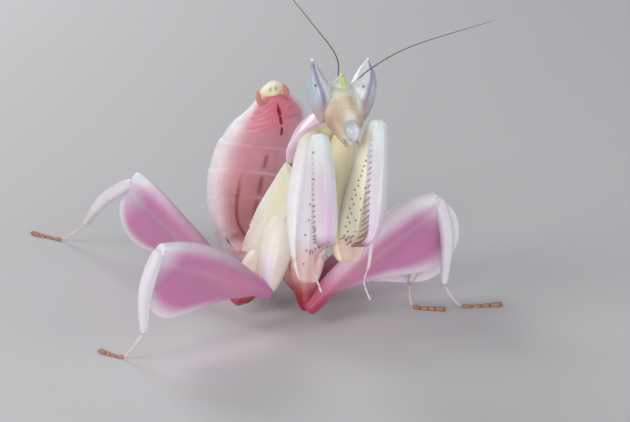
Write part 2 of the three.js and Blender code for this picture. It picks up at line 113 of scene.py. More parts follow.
# Each walking leg's joints, the rake of its lobe, the crest's height along the femur, where the
# lobe peaks and how steeply it rises, the femur's bow, where the pale stem starts, and the share
# of the rim's width at the hip.
WALKING_LEGS = {
    "midleg_right": dict(
        socket=(-3.0, 2.6, 10.6), hip=(-4.6, 0.1, 3.2), knee=(-14.1, -9.5, 11.2), rake=0.16,
        crest=(0.9, 0.95, 1.1, 1.3, 1.35, 0.9), lobe_peak=0.62, lobe_rise=1.25, bow=0.9, stem=0.7, rim=0.5,
        ankle=(-15.9, -10, 3.2), heel=(-18, -8.5, SOLE), toe=(-20.5, -6.9, SOLE)),
    "midleg_left": dict(
        socket=(-1.2, 3.4, 9.2), hip=(-0.8, -0.7, 1.7), knee=(11.7, 4.5, 11.3), rake=0.34,
        crest=(1.1, 1.0, 0.95, 1.4, 1.75, 1.0), lobe_peak=0.72, lobe_rise=1.7, bow=0.8, stem=0.2, rim=0.6,
        ankle=(12.6, 3.6, 2.6), heel=(14.5, 4.1, SOLE), toe=(18.7, 4.6, SOLE)),
    "hindleg_right": dict(
        socket=(-4.7, 5.2, 6.2), hip=(-7.1, 1.5, 1.7), knee=(-18.2, 14.8, 9.2), rake=0.7,
        crest=(1.1, 1.0, 0.9, 1.0, 1.5, 1.8), lobe_peak=0.7, lobe_rise=1.7, bow=0.8, stem=1.0, rim=0.3,
        ankle=(-23.9, 19.7, 2.9), heel=(-26.8, 22.7, SOLE), toe=(-30.3, 24.8, SOLE)),
    "hindleg_left": dict(
        socket=(-2.9, 6.0, 6.0), hip=(-1.2, 4.2, 1.6), knee=(12.3, 12.7, 8.2), rake=0.1,
        crest=(1.1, 1.0, 0.9, 1.0, 1.2, 1.0), lobe_peak=0.72, lobe_rise=1.7, bow=0.8, stem=0.2, rim=0.6,
        ankle=(9.3, 5.9, 1.8), heel=(9.7, 4.0, SOLE), toe=(13.0, 3.2, SOLE)),
}
PALE_LEG = "midleg_right"
KNEE_CAP = 0.3
SHIN_BOW = 0.9
LOBE_END = 1.04
LOBE_ROOT = (0.0, 3.4)
LOBE_SETBACK = 0.45
LOBE_LEAN = 0.12

# Each foreleg's joints, how cream it is, the fan of spines across its thigh (share, first and last
# cosine, count), the comb's shortest and longest spine and their way, the places of its dots, the
# blade's half widths, and the thigh's rows of spines (first and last degree, stagger, count).
FORELEGS = {
    "foreleg_right": dict(
        socket=(-0.1, -1.5, 20.6), bend=(-1.1, -5.0, 14.0), hinge=(-0.6, -9.0, 8.0),
        cream=0.12, fan=(0.755, -0.35, 0.9, 9),
        comb=(0.1, 0.4), comb_way=(-0.75, -0.45, -0.3), dots=(0.12, 0.29, 0.45, 0.59),
        blade=(1.0, 1.05, 1.1, 1.1, 1.0, 0.5, 0.16), spine_rows=((100, 130, 4, 7), (20, 30, 3, 6)),
        knee=(0.5, -7.0, 21.6), shin=(0.9, -12.6, 13.6), claw=(0.3, -11.4, 12.2),
        foot=[(1.3, -13.0, 13.4), (0.1, -13.6, 12.3), (0.1, -13.4, 10.3), (0.6, -13.4, 8.6)]),
    "foreleg_left": dict(
        socket=(2.9, -1.3, 20.3), bend=(1.9, -5.0, 14.6), hinge=(3.0, -9.0, 10.0),
        cream=1.0, fan=(0.84, -0.93, -0.6, 5),
        comb=(0.2, 1.5), comb_way=(-0.78, -0.42, -0.4), dots=(),
        blade=(1.0, 1.05, 1.0, 0.9, 0.6, 0.36, 0.2), spine_rows=((133, 154, 5, 20), (112, 128, 3, 9)),
        knee=(5.9, -4.8, 22.3), shin=(5.15, -10.8, 13.3), claw=(3.3, -11.5, 12.4),
        foot=[(5.2, -11.1, 13), (4.9, -11.3, 10.5), (4.5, -11.2, 8.8), (5.1, -11.1, 6.9)]),
}
FORESHIN_BOW = 0.4
FORE_THIGH_BOW = 0.1

# The camera looks along +Y and down, at a point ahead of the stance's middle.
AIM = np.array([0.0, 0.0, 11.65])
CAMERA_REACH = 240.0
CAMERA_ELEVATION = math.radians(20)
CAMERA_LENS = 144.0
SENSOR_WIDTH = 36.0

# The studio, in metres: a floor that curves up into a wall behind the animal.
FLOOR_REACH = 3.0
COVE_START = 0.5
COVE_RADIUS = 0.25
COVE_ROWS = 24
LIGHTS_AIM = (0.0, 0.0, 0.014)
# Each lamp's place, diameter, power in watts and colour.
LIGHTS = {
    "key_light": ((-0.2, -0.18, 0.17), 0.16, 0.3, (1.0, 0.98, 0.97)),
    "front_light": ((0.0, -0.3, 0.04), 0.2, 0.4, (1.0, 0.99, 0.98)),
    "fill_light": ((0.22, -0.14, 0.12), 0.2, 0.14, (0.97, 0.98, 1.0)),
    "rim_light": ((-0.14, 0.18, 0.14), 0.14, 0.27, (1.0, 0.98, 1.0)),
}
WORLD_COLOUR = (0.9, 0.92, 1.0, 1.0)
WORLD_STRENGTH = 0.34

# ---------------------------------------------------------------- shape functions


def unit(vector):
    """The vector shortened or stretched to length one."""
    vector = np.asarray(vector, float)
    return vector / np.linalg.norm(vector, axis=-1, keepdims=True)


def ramp(value, low, high):
    """A smooth step: 0 up to `low`, 1 from `high`, and 3t^2 - 2t^3 between them."""
    t = np.clip((value - low) / (high - low), 0, 1)
    return t * t * (3 - 2 * t)


def swell(value, middle, width):
    """A bell curve, exp(-((value - middle) / width)^2)."""
    return np.exp(-(((value - middle) / width) ** 2))


def cubic(knots, reach):
    """The uniform Catmull-Rom cubic: each stretch runs between its two knots, and its slopes at
    them are half the step between their neighbours. Gives the values and the slopes."""
    first = np.minimum(reach.astype(int), len(knots) - 4)
    t = reach - first
    if knots.ndim > 1:
        t = t[..., None]
    a, b, c, d = (knots[first + k] for k in range(4))
    value = b + 0.5 * t * ((c - a) + t * ((2 * a - 5 * b + 4 * c - d) + t * (3 * b - a - 3 * c + d)))
    slope = 0.5 * ((c - a) + t * (2 * (2 * a - 5 * b + 4 * c - d) + 3 * t * (3 * b - a - 3 * c + d)))
    return value, slope


def smooth_line(points):
    """A smooth line through the points, whose ends run on straight."""
    knots = np.asarray(points, float)
    knots = np.vstack([2 * knots[0] - knots[1], knots, 2 * knots[-1] - knots[-2]])

    def at(share):
        place, slope = cubic(knots, np.clip(share, 0, 1) * (len(knots) - 3))
        return place, unit(slope)

    return at


def profile(*values):
    """A smooth graph over 0 to 1 through evenly spaced values, with its ends held."""
    knots = np.array([values[0], *values, values[-1]], float)
    return lambda share: cubic(knots, np.clip(share, 0, 1) * (len(knots) - 3))[0]


def oval(width, depth):
    """An ellipse whose half width and half depth follow the line."""
    return lambda share, cos, sin: (width(share) * cos, depth(share) * sin)


class Tube:
    """A closed skin carried along a line. The section's x axis keeps to `across` and its y axis
    is square to that and to the line. A row at the turn p, from 0 to pi, stands at the share
    (1 - cos p) / 2, and its section is scaled by sin p to the power `roundness`."""

    def __init__(self, line, across, section, roundness=0.5, start=0.0, stop=1.0):
        self.line = smooth_line(line)
        self.across = np.asarray(across, float)
        self.section = section
        self.roundness = roundness
        self.start = start
        self.stop = stop

    def share(self, turn):
        return self.start + (self.stop - self.start) * (1 - np.cos(turn)) / 2

    def turn_at(self, share):
        """The turn whose row stands at this share."""
        part = (np.asarray(share, float) - self.start) / (self.stop - self.start)
        return np.arccos(np.clip(1 - 2 * part, -1, 1))

    def at(self, turn, angle):
        """Places for arrays of turns and angles."""
        turn, angle = np.broadcast_arrays(np.asarray(turn, float), np.asarray(angle, float))
        share = self.share(turn)
        place, ahead = self.line(share)
        x_axis = unit(self.across - (ahead @ self.across)[..., None] * ahead)
        y_axis = np.cross(ahead, x_axis)
        x, y, *step = self.section(share, np.cos(angle), np.sin(angle))
        size = np.maximum(np.sin(turn), 0) ** self.roundness
        place = place + (x * size)[..., None] * x_axis + (y * size)[..., None] * y_axis
        if step:
            place = place + (step[0] * size)[..., None] * ahead
        return place

    def normal(self, turn, angle):
        """Outward directions, from small steps along and around the skin."""
        tiny = 1e-3
        along = self.at(turn + tiny, angle) - self.at(turn - tiny, angle)
        around = self.at(turn, angle + tiny) - self.at(turn, angle - tiny)
        facing = unit(np.cross(along, around))
        centre = self.line(self.share(np.asarray(turn, float)))[0]
        outward = np.sum((self.at(turn, angle) - centre) * facing, axis=-1, keepdims=True)
        return facing * np.sign(outward)

    def skin(self, rows, cols, paint):
        """The whole skin as a patch. paint(share, cos, sin, place) gives its masks."""
        turn = np.linspace(0, np.pi, rows + 1)[:, None]
        angle = np.linspace(0, 2 * np.pi, cols, endpoint=False)[None, :]
        turn, angle = np.broadcast_arrays(turn, angle)
        place = self.at(turn, angle)
        share = self.share(turn)
        cos = np.cos(angle)
        sin = np.sin(angle)
        masks = paint(share, cos, sin, place)
        spine = self.line(share[:, 0])[0]
        steps = np.linalg.norm(np.diff(spine, axis=0), axis=-1)
        length = np.concatenate([[0], np.cumsum(steps)])[:, None] + 0 * share
        masks["lie"] = np.stack([length, 1.5 * cos, 1.5 * sin], axis=-1)
        return patch_of_grid(place, masks)


MASKS = ("tint", "blush", "pale", "mark")


def patch_of_grid(place, masks):
    """Points and faces of a grid that closes around, with a pole in place of its end rows."""
    rows, cols = place.shape[0] - 1, place.shape[1]

    def ringed(grid):
        grid = np.broadcast_to(grid, place.shape[:2] + np.shape(grid)[2:])
        inner = grid[1:-1].reshape((-1,) + grid.shape[2:])
        return np.concatenate([grid[0, :1], inner, grid[-1, :1]])

    first = 1 + np.arange(rows - 2)[:, None] * cols
    here = first + np.arange(cols)[None, :]
    beside = first + (np.arange(cols)[None, :] + 1) % cols
    quads = np.stack([here, beside, beside + cols, here + cols], axis=-1).reshape(-1, 4)
    around = np.arange(cols)
    onward = (around + 1) % cols
    last = 1 + (rows - 2) * cols
    top = np.stack([0 * around, 1 + onward, 1 + around], axis=-1)
    foot = np.stack([0 * around + last + cols, last + around, last + onward], axis=-1)
    patch = {"points": ringed(place), "quads": quads, "tris": np.concatenate([top, foot])}
    for name in MASKS:
        patch[name] = ringed(np.asarray(masks.get(name, 0.0)) + np.zeros(place.shape[:2]))
    patch["lie"] = ringed(masks.get("lie", np.zeros(place.shape)))
    return outward(patch)


def outward(patch):
    """The patch with its faces turned round if its signed volume is negative."""
    points = patch["points"] - patch["points"].mean(axis=0)
    quads = patch["quads"]
    tris = np.concatenate([patch["tris"], quads[:, [0, 1, 2]], quads[:, [0, 2, 3]]])
    a, b, c = (points[tris[:, k]] for k in range(3))
    if np.sum(a * np.cross(b, c)) < 0:
        patch["quads"] = quads[:, ::-1]
        patch["tris"] = patch["tris"][:, ::-1]
    return patch


def thorns(roots, tips, radius, bow=None, sides=6, rings=4, dark=0.35, tip_mark=1.0):
    """Curved cones from roots to tips. A ring at the share t stands at root + t (tip - root)
    + 4 t (1 - t) bow, with the radius (1 - t)^0.8 of the root's. The mark rises past `dark`."""
    roots = np.atleast_2d(roots)
    tips = np.atleast_2d(tips)
    radius = np.broadcast_to(radius, len(roots))
    bow = np.zeros_like(roots) if bow is None else np.broadcast_to(bow, roots.shape)
    way = unit(tips - roots)
    side = unit(np.cross(way, np.where(np.abs(way[:, 2:]) < 0.9, UPWARD, LEFT)))
    other = np.cross(way, side)
    share = np.linspace(0, 1, rings + 2)[None, :, None, None]
    angle = np.linspace(0, 2 * np.pi, sides, endpoint=False)[None, None, :, None]
    size = radius[:, None, None, None] * (1 - share) ** 0.8
    size[:, 0] = 0
    axis = roots[:, None, None] + share * (tips - roots)[:, None, None]
    axis = axis + 4 * share * (1 - share) * bow[:, None, None]
    ring = np.cos(angle) * side[:, None, None] + np.sin(angle) * other[:, None, None]
    place = axis + size * ring
    mark = tip_mark * ramp(share[..., 0], dark, 1.0) + np.zeros(place.shape[:3])
    return joined([patch_of_grid(place[k], {"mark": mark[k]}) for k in range(len(roots))])


def thorns_on(limb, shares, angle, lean, sunk, length, radius, **look):
    """Thorns that grow square out of a limb's skin and lean along it by `lean`, with their roots
    sunk into it. A negative lean points them back towards the limb's start."""
    turn = limb.turn_at(shares)
    angle = angle + 0 * turn
    root = limb.at(turn, angle)
    way = unit(limb.normal(turn, angle) + lean * limb.line(shares)[1])
    return thorns(root - sunk * way, root + length * way, radius, **look)


def bead(centre, radius, flatness, **masks):
    """A small round bead, flattened upwards to that share of its width."""
    reach = radius * flatness * UPWARD
    across = unit(np.cross(UPWARD, LEFT + 0.01 * UPWARD))
    section = oval(lambda share: radius + 0 * share, lambda share: radius + 0 * share)
    tube = Tube([centre - reach, centre + reach], across, section, 1.0)
    return tube.skin(10, 12, lambda share, cos, sin, place: dict(masks))


def joined(patches):
    """Several patches as one."""
    whole = {}
    offsets = np.cumsum([0] + [len(patch["points"]) for patch in patches[:-1]])
    for key in ("quads", "tris"):
        whole[key] = np.concatenate([patch[key] + step for patch, step in zip(patches, offsets)])
    for key in ("points", "lie", *MASKS):
        whole[key] = np.concatenate([patch[key] for patch in patches])
    return whole


def set_on_floor(patch):
    """No point lies under the floor, so soles are flat."""
    patch["points"][:, 2] = np.maximum(patch["points"][:, 2], 0.0)
    return patch


def add_piece(name, patches, material, nodes):
    """Makes the patches one object, in metres and in the frame, that stands for the nodes."""
    patch = joined(patches)
    quads, tris = patch["quads"], patch["tris"]
    mesh = bpy.data.meshes.new(name)
    mesh.vertices.add(len(patch["points"]))
    points = (patch["points"] - STANCE_CENTRE) * MM
    mesh.vertices.foreach_set("co", points.astype(np.float32).ravel())
    mesh.loops.add(4 * len(quads) + 3 * len(tris))
    mesh.loops.foreach_set("vertex_index", np.concatenate([quads.ravel(), tris.ravel()]).astype(np.int32))
    starts = np.concatenate([4 * np.arange(len(quads)), 4 * len(quads) + 3 * np.arange(len(tris))])
    mesh.polygons.add(len(starts))
    mesh.polygons.foreach_set("loop_start", starts.astype(np.int32))
    mesh.update(calc_edges=True)
    mesh.polygons.foreach_set("use_smooth", np.ones(len(starts), bool))
    for key in MASKS:
        layer = mesh.attributes.new(key, "FLOAT", "POINT")
        layer.data.foreach_set("value", np.clip(patch[key], 0, 1).astype(np.float32))
    layer = mesh.attributes.new("lie", "FLOAT_VECTOR", "POINT")
    layer.data.foreach_set("vector", patch["lie"].astype(np.float32).ravel())
    if mesh.validate():
        raise RuntimeError(name + " has faulty faces")
    piece = bpy.data.objects.new(name, mesh)
    bpy.context.scene.collection.objects.link(piece)
    mesh.materials.append(material)
    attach(piece, BODY)
    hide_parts(*nodes)
    return piece


# ---------------------------------------------------------------- finishes


def link(tree, source, target):
    tree.links.new(source, target)


def value_node(tree, operation, first, second):
    """A Math node; each input is a number or a socket."""
    node = tree.nodes.new("ShaderNodeMath")
    node.operation = operation
    for socket, given in zip(node.inputs, (first, second)):
        if isinstance(given, bpy.types.NodeSocket):
            link(tree, given, socket)
        else:
            socket.default_value = given
    return node.outputs[0]


def noise_node(tree, vector, scale, detail):
    node = tree.nodes.new("ShaderNodeTexNoise")
    node.inputs["Scale"].default_value = scale
    node.inputs["Detail"].default_value = detail
    link(tree, vector, node.inputs["Vector"])
    return node.outputs["Fac"]


# Noises of the cuticle: scale, per metre or along the piece, and detail.
CLOUD = (700.0, 4.0)
SPECKLE = (5200.0, 2.0)
FINE_GRAIN = (14000.0, 3.0)
STREAK = (1.0, 4.0)
STREAK_STRETCH = (0.22, 3.2, 3.2)
LAYERS = {"tint": "Tint", "blush": "Blush", "pale": "Pale", "mark": "Mark"}
EDGE_GRAIN = 0.35
UNEVEN_SHEEN = 0.18
RIDGE_HEIGHT = 3.0


def cuticle_group():
    """Waxy insect skin. Four masks lay Tint, Blush, Pale and Mark over Base, each with a grainy
    edge. Cloudy mottling and streaks along the piece vary the colour, and streaks with a fine
    grain give the height."""
    name = "Waxy cuticle"
    if name in bpy.data.node_groups:
        return bpy.data.node_groups[name]
    tree = bpy.data.node_groups.new(name, "ShaderNodeTree")
    for colour in ("Base", *LAYERS.values()):
        tree.interface.new_socket(colour, in_out="INPUT", socket_type="NodeSocketColor")
    for number, start in (("Mottle", 0.1), ("Streaks", 0.1), ("Grain", 0.3), ("Dullness", 0.45)):
        socket = tree.interface.new_socket(number, in_out="INPUT", socket_type="NodeSocketFloat")
        socket.default_value = start
    tree.interface.new_socket("Color", in_out="OUTPUT", socket_type="NodeSocketColor")
    tree.interface.new_socket("Roughness", in_out="OUTPUT", socket_type="NodeSocketFloat")
    tree.interface.new_socket("Height", in_out="OUTPUT", socket_type="NodeSocketFloat")
    given = tree.nodes.new("NodeGroupInput").outputs
    result = tree.nodes.new("NodeGroupOutput").inputs

    where = tree.nodes.new("ShaderNodeTexCoord").outputs["Object"]
    lie = tree.nodes.new("ShaderNodeAttribute")
    lie.attribute_name = "lie"
    stretched = tree.nodes.new("ShaderNodeVectorMath")
    stretched.operation = "MULTIPLY"
    stretched.inputs[1].default_value = STREAK_STRETCH
    link(tree, lie.outputs["Vector"], stretched.inputs[0])

    cloud = noise_node(tree, where, *CLOUD)
    speckle = noise_node(tree, where, *SPECKLE)
    grain = noise_node(tree, where, *FINE_GRAIN)
    streak = noise_node(tree, stretched.outputs[0], *STREAK)

    colour = given["Base"]
    wander = value_node(tree, "SUBTRACT", speckle, 0.5)
    for mask, layer in LAYERS.items():
        source = tree.nodes.new("ShaderNodeAttribute")
        source.attribute_name = mask
        edge = value_node(tree, "MULTIPLY", wander, EDGE_GRAIN)
        rest = value_node(tree, "SUBTRACT", 1.0, source.outputs["Fac"])
        spread = value_node(tree, "MULTIPLY", source.outputs["Fac"], rest)
        edge = value_node(tree, "MULTIPLY", edge, value_node(tree, "MULTIPLY", spread, 4.0))
        amount = value_node(tree, "ADD", source.outputs["Fac"], edge)
        # A Mix node's colour sockets come after its number and vector ones.
        mix = tree.nodes.new("ShaderNodeMix")
        mix.data_type = "RGBA"
        mix.clamp_factor = True
        link(tree, amount, mix.inputs[0])
        link(tree, colour, mix.inputs[6])
        link(tree, given[layer], mix.inputs[7])
        colour = mix.outputs[2]

    clouds = value_node(tree, "MULTIPLY", value_node(tree, "SUBTRACT", cloud, 0.5), given["Mottle"])
    streaks = value_node(tree, "MULTIPLY", value_node(tree, "SUBTRACT", streak, 0.5), given["Streaks"])
    shade = value_node(tree, "ADD", value_node(tree, "ADD", clouds, streaks), 1.0)
    shaded = tree.nodes.new("ShaderNodeVectorMath")
    shaded.operation = "SCALE"
    link(tree, colour, shaded.inputs[0])
    link(tree, shade, shaded.inputs["Scale"])
    link(tree, shaded.outputs[0], result["Color"])

    uneven = value_node(tree, "MULTIPLY", wander, UNEVEN_SHEEN)
    link(tree, value_node(tree, "ADD", given["Dullness"], uneven), result["Roughness"])
    fine = value_node(tree, "MULTIPLY", grain, given["Grain"])
    ridges = value_node(tree, "MULTIPLY", streak, given["Streaks"])
    ridges = value_node(tree, "MULTIPLY", ridges, RIDGE_HEIGHT)
    link(tree, value_node(tree, "ADD", fine, ridges), result["Height"])
    return tree


USUAL_FINISH = dict(mottle=0.12, streaks=0.1, grain=0.3, dullness=0.42, relief=0.00002, glow=0.25, coat=0.15)

# Each finish's base, tint, blush, pale and mark colours, where a word is a colour of the panel, and
# what differs from the usual finish.
FINISHES = {
    "Face shell": dict(
        colours=("face", (0.72, 0.76, 0.62), (0.46, 0.27, 0.2), (0.84, 0.85, 0.78), "dark"),
        mottle=0.7, streaks=0.03, grain=0.5, dullness=0.38),
    "Lime horn": dict(
        colours=("lime", (0.8, 0.84, 0.5), (0.7, 0.6, 0.3), (0.7, 0.8, 0.7), (0.12, 0.12, 0.02)),
        mottle=0.2, dullness=0.35),
    "Glossy lip": dict(
        colours=((0.55, 0.6, 0.66), (0.5, 0.5, 0.6), (0.55, 0.36, 0.28), (0.85, 0.88, 0.9), "dark"),
        mottle=0.15, dullness=0.2, coat=0.6),
    "Eye": dict(
        colours=("eye", (0.48, 0.38, 0.38), "stripe", (0.82, 0.86, 0.85), (0.0, 0.0, 0.005)),
        streaks=0.04, grain=0.2, dullness=0.26, relief=0.00001, coat=0.3),
    "Feeler": dict(
        colours=((0.12, 0.08, 0.07), (0.3, 0.2, 0.18), (0.4, 0.2, 0.15), (0.6, 0.56, 0.54),
                 (0.02, 0.012, 0.01)),
        dullness=0.5, glow=0.0),
    "Lilac shield": dict(
        colours=((0.94, 0.78, 0.7), (0.97, 0.88, 0.74), (0.88, 0.65, 0.82), (0.88, 0.78, 0.9),
                 (0.14, 0.03, 0.02)),
        mottle=0.25, dullness=0.36, coat=0.3),
    "Cream trunk": dict(
        colours=("cream", (0.93, 0.88, 0.64), (0.88, 0.64, 0.5), (0.92, 0.89, 0.84), (0.2, 0.05, 0.02)),
        mottle=0.25, streaks=0.12),
    "Wing pad": dict(
        colours=((0.92, 0.88, 0.78), (0.92, 0.88, 0.64), (0.78, 0.52, 0.48), (0.94, 0.91, 0.92),
                 (0.25, 0.08, 0.03)),
        mottle=0.1),
    "Peach wing pad": dict(
        colours=((0.86, 0.72, 0.66), (0.92, 0.86, 0.7), (0.74, 0.44, 0.38), (0.92, 0.86, 0.84),
                 (0.25, 0.08, 0.03)),
        mottle=0.15),
    "Abdomen skin": dict(
        # The tint colour is a dark brownish pink, partly the skin's own colour and partly painted shade on
        # the low rings.
        colours=("abdomen", (0.5, 0.2, 0.2), "coral", (0.88, 0.85, 0.87), (0.22, 0.02, 0.006)),
        mottle=0.3, streaks=0.12, dullness=0.4),
    "Tail plate": dict(
        colours=((1.0, 0.97, 0.68), (0.86, 0.86, 0.42), (0.95, 0.72, 0.5), (1.0, 1.0, 0.88),
                 (0.2, 0.14, 0.04)),
        mottle=0.06, streaks=0.04),
    "Cercus": dict(
        colours=((0.7, 0.36, 0.3), (0.7, 0.4, 0.3), (0.66, 0.28, 0.22), (0.84, 0.6, 0.5), (0.3, 0.05, 0.04))),
    "Petal": dict(
        colours=("petal", "petal_glow", (0.42, 0.04, 0.09), "petal_rim", "dark"),
        streaks=0.08, glow=0.35),
    "Deep red hip": dict(
        colours=("deep_red", (0.4, 0.05, 0.05), (0.74, 0.4, 0.34), (0.88, 0.74, 0.66), (0.14, 0.0, 0.01)),
        mottle=0.25, coat=0.1),
    "Lavender hip": dict(
        colours=((0.84, 0.74, 0.68), (0.9, 0.84, 0.74), (0.82, 0.72, 0.64), (0.86, 0.82, 0.92),
                 (0.5, 0.25, 0.15)),
        mottle=0.15, streaks=0.08, dullness=0.38),
    "Petal shin": dict(
        colours=((0.74, 0.7, 0.76), (0.4, 0.36, 0.12), (0.7, 0.4, 0.45), "petal_rim", "dark"),
        streaks=0.16, dullness=0.4),
    "Foot": dict(
        colours=((0.6, 0.42, 0.3), "foot", (0.5, 0.2, 0.1), (0.78, 0.7, 0.74), "dark"),
        mottle=0.35),
    "Lavender arm": dict(
        colours=("lavender", (0.88, 0.84, 0.64), (0.74, 0.46, 0.42), (0.86, 0.91, 0.88), "dark"),
        streaks=0.12, dullness=0.38),
    "Lilac blade": dict(
        colours=((0.78, 0.78, 0.8), (0.68, 0.56, 0.6), (0.72, 0.5, 0.7), (0.82, 0.88, 0.85),
                 (0.2, 0.045, 0.035)),
        streaks=0.12, dullness=0.36),
    "Cream coxa": dict(
        colours=((0.9, 0.88, 0.86), (0.94, 0.87, 0.6), (0.88, 0.68, 0.55), (0.92, 0.91, 0.95), "dark"),
        mottle=0.16, streaks=0.12, dullness=0.4),
    "Lilac foot": dict(
        colours=((0.74, 0.55, 0.6), (0.6, 0.4, 0.4), (0.66, 0.38, 0.42), (0.82, 0.72, 0.78), "dark"),
        dullness=0.4, glow=0.4),
}
BUMP_STRENGTH = 0.6
GLOW_SPREAD = (1.0, 0.55, 0.5)
GLOW_DEPTH = 0.0006
COAT_ROUGHNESS = 0.25
CUTICLE_IOR = 1.45


def cuticle(name):
    """The named finish: a Principled shader over the waxy cuticle group."""
    if name in bpy.data.materials:
        return bpy.data.materials[name]
    recipe = {**USUAL_FINISH, **FINISHES[name]}
    hues = bpy.context.scene.mantis_colours
    material = bpy.data.materials.new(name)
    material.use_nodes = True
    tree = material.node_tree
    shader = tree.nodes["Principled BSDF"]
    skin = tree.nodes.new("ShaderNodeGroup")
    skin.node_tree = cuticle_group()
    for socket, colour in zip(("Base", *LAYERS.values()), recipe["colours"]):
        colour = getattr(hues, colour) if isinstance(colour, str) else colour
        skin.inputs[socket].default_value = (*colour, 1.0)
    for number in ("Mottle", "Streaks", "Grain", "Dullness"):
        skin.inputs[number].default_value = recipe[number.lower()]
    bump = tree.nodes.new("ShaderNodeBump")
    bump.inputs["Strength"].default_value = BUMP_STRENGTH
    bump.inputs["Distance"].default_value = recipe["relief"]
    link(tree, skin.outputs["Height"], bump.inputs["Height"])
    link(tree, skin.outputs["Color"], shader.inputs["Base Color"])
    link(tree, skin.outputs["Roughness"], shader.inputs["Roughness"])
    link(tree, bump.outputs["Normal"], shader.inputs["Normal"])
    shader.inputs["Subsurface Weight"].default_value = recipe["glow"]
    shader.inputs["Subsurface Radius"].default_value = GLOW_SPREAD
    shader.inputs["Subsurface Scale"].default_value = GLOW_DEPTH
    shader.inputs["Coat Weight"].default_value = recipe["coat"]
    shader.inputs["Coat Roughness"].default_value = COAT_ROUGHNESS
    shader.inputs["IOR"].default_value = CUTICLE_IOR
    return material


# ---------------------------------------------------------------- head


HEAD_UP = unit(HEAD_TILT)
HEAD_FORWARD = np.array([math.sin(FACE_YAW), -math.cos(FACE_YAW), FACE_RISE])
HEAD_FORWARD = unit(HEAD_FORWARD - (HEAD_FORWARD @ HEAD_UP) * HEAD_UP)
HEAD_LEFT = np.cross(HEAD_UP, HEAD_FORWARD)


def on_head(steps, side=1):
    """Points of the head from steps to its side, up and forward; side -1 is the right."""
    steps = np.atleast_2d(np.asarray(steps, float))
    axes = np.stack([side * HEAD_LEFT, HEAD_UP, HEAD_FORWARD])
    return HEAD_CENTRE + steps @ axes


def head_steps(place):
    """The steps left, up and forward of the head's centre."""
    away = place - HEAD_CENTRE
    return away @ HEAD_LEFT, away @ HEAD_UP, away @ HEAD_FORWARD


def skull_patches():
    """The head capsule: an oval carried from the vertex down to the chin. A low frontal ridge runs
    down the face, and shallow grooves bound the frontal shield and the clypeus."""
    width = profile(1.3, 1.75, 2.1, 2.0, 0.85)
    depth = profile(0.8, 1.15, 1.2, 1.1, 0.75)

    def section(share, cos, sin):
        x = width(share) * cos
        y = depth(share) * sin
        front = ramp(sin, 0.1, 0.5)
        ridge = 0.13 * swell(x, 0, 0.45) * swell(share, 0.5, 0.22)
        shield = 0.06 * swell(np.abs(x), 1.05, 0.09) * swell(share, 0.42, 0.16)
        brow = 0.05 * swell(share, 0.6 + 0.03 * x * x, 0.012) * ramp(-np.abs(x), -1.2, -0.8)
        cheek = 0.1 * swell(np.abs(x), 1.5, 0.3) * swell(share, 0.6, 0.15)
        return x, y + front * (ridge - shield - brow + cheek)

    def paint(share, cos, sin, place):
        side, up, _ = head_steps(place)
        top = ramp(up, -1.7, 0.8)
        low = ramp(-up, 1.6, 3.6)
        tan = swell(side, -1.6, 0.9) * swell(up, -2.2, 1.5)
        flange = ramp(side, 0.35, 1.3) * ramp(up, -2.2, -0.2)
        rose = swell(side, 1.5, 0.5) * swell(up, -2.4, 1.2)
        freckles = ramp(np.sin(9 * side + 3 * up) * np.sin(7 * up - 2 * side), 0.86, 0.98)
        shield = swell(side, 0, 0.8) * swell(up, -0.5, 0.6)
        return {
            "tint": np.clip(0.95 * top - 0.5 * shield, 0, 1),
            "blush": np.clip(0.6 * tan + 0.4 * rose + 0.2 * low, 0, 1),
            # pale: the patch low on the middle of the face, over the clypeus, is a painted highlight; flange
            # is the face's paler side to the head's left
            "pale": np.clip(0.75 * swell(side, 0.1, 0.6) * ramp(-up, 1.2, 2.4) + flange, 0, 1),
            "mark": 0.5 * freckles * swell(up, -2.8, 0.7) * ramp(side, 0.5, 1.2),
        }

    skull = Tube(on_head(SKULL_LINE), HEAD_LEFT, section)
    patches = [skull.skin(120, 128, paint)]
    for side in (-1, 1):
        palp = on_head([[0.45, -3.9, 0.9], [0.7, -4.5, 1.3], [0.5, -4.9, 1.5]], side)
        section_palp = oval(profile(0.16, 0.13, 0.08), profile(0.16, 0.13, 0.08))
        patches.append(Tube(palp, HEAD_FORWARD, section_palp).skin(24, 10, lambda s, *_: {
            "blush": 0.7 * ramp(s, 0.2, 0.8),
            "mark": 0.6 * swell(s, 0.5, 0.03),
        }))
    return patches


def crown_patches():
    """The vertex horn: a blunt pyramid with a lime stripe down its front and pale flanks."""
    width = profile(0.2, 0.42, 0.74, 1.05, 1.3)
    depth = profile(0.22, 0.38, 0.62, 0.9, 1.0)

    def section(share, cos, sin):
        x = np.sign(cos) * np.abs(cos) ** 1.3
        y = np.sign(sin) * np.abs(sin) ** 1.3
        return width(share) * x, depth(share) * y

    def paint(share, cos, sin, place):
        side, up, _ = head_steps(place)
        stripe = ramp(-np.abs(side), -0.3 - 0.08 * share, -0.2) * ramp(sin, -0.2, 0.2)
        foot = swell(share, 0.8, 0.05) * swell(side, 0.08, 0.12)
        tip = swell(share, 0.14, 0.06) * swell(side, 0, 0.08)
        return {
            "pale": 0.95 * (1 - stripe) + 0 * share,
            "mark": 0.7 * (foot + tip) * ramp(sin, 0.3, 0.6),
            "tint": np.clip(ramp(-share, -0.12, 0) + 0.6 * swell(side, 0, 0.08), 0, 1),
        }

    return [Tube(on_head(HORN_LINE), HEAD_LEFT, section, 0.35).skin(48, 48, paint)]


def labrum_patches():
    """The glossy bulb of the upper lip, an oval carried down the front of the chin."""
    section = oval(profile(0.5, 0.76, 0.55), profile(0.35, 0.55, 0.35))

    def paint(share, cos, sin, place):
        return {"pale": 0.7 * swell(cos, 0.2, 0.4) * ramp(sin, 0, 0.6), "blush": 0.7 * ramp(share, 0.75, 1.0)}

    return [Tube(on_head(LABRUM_LINE), HEAD_LEFT, section).skin(48, 40, paint)]
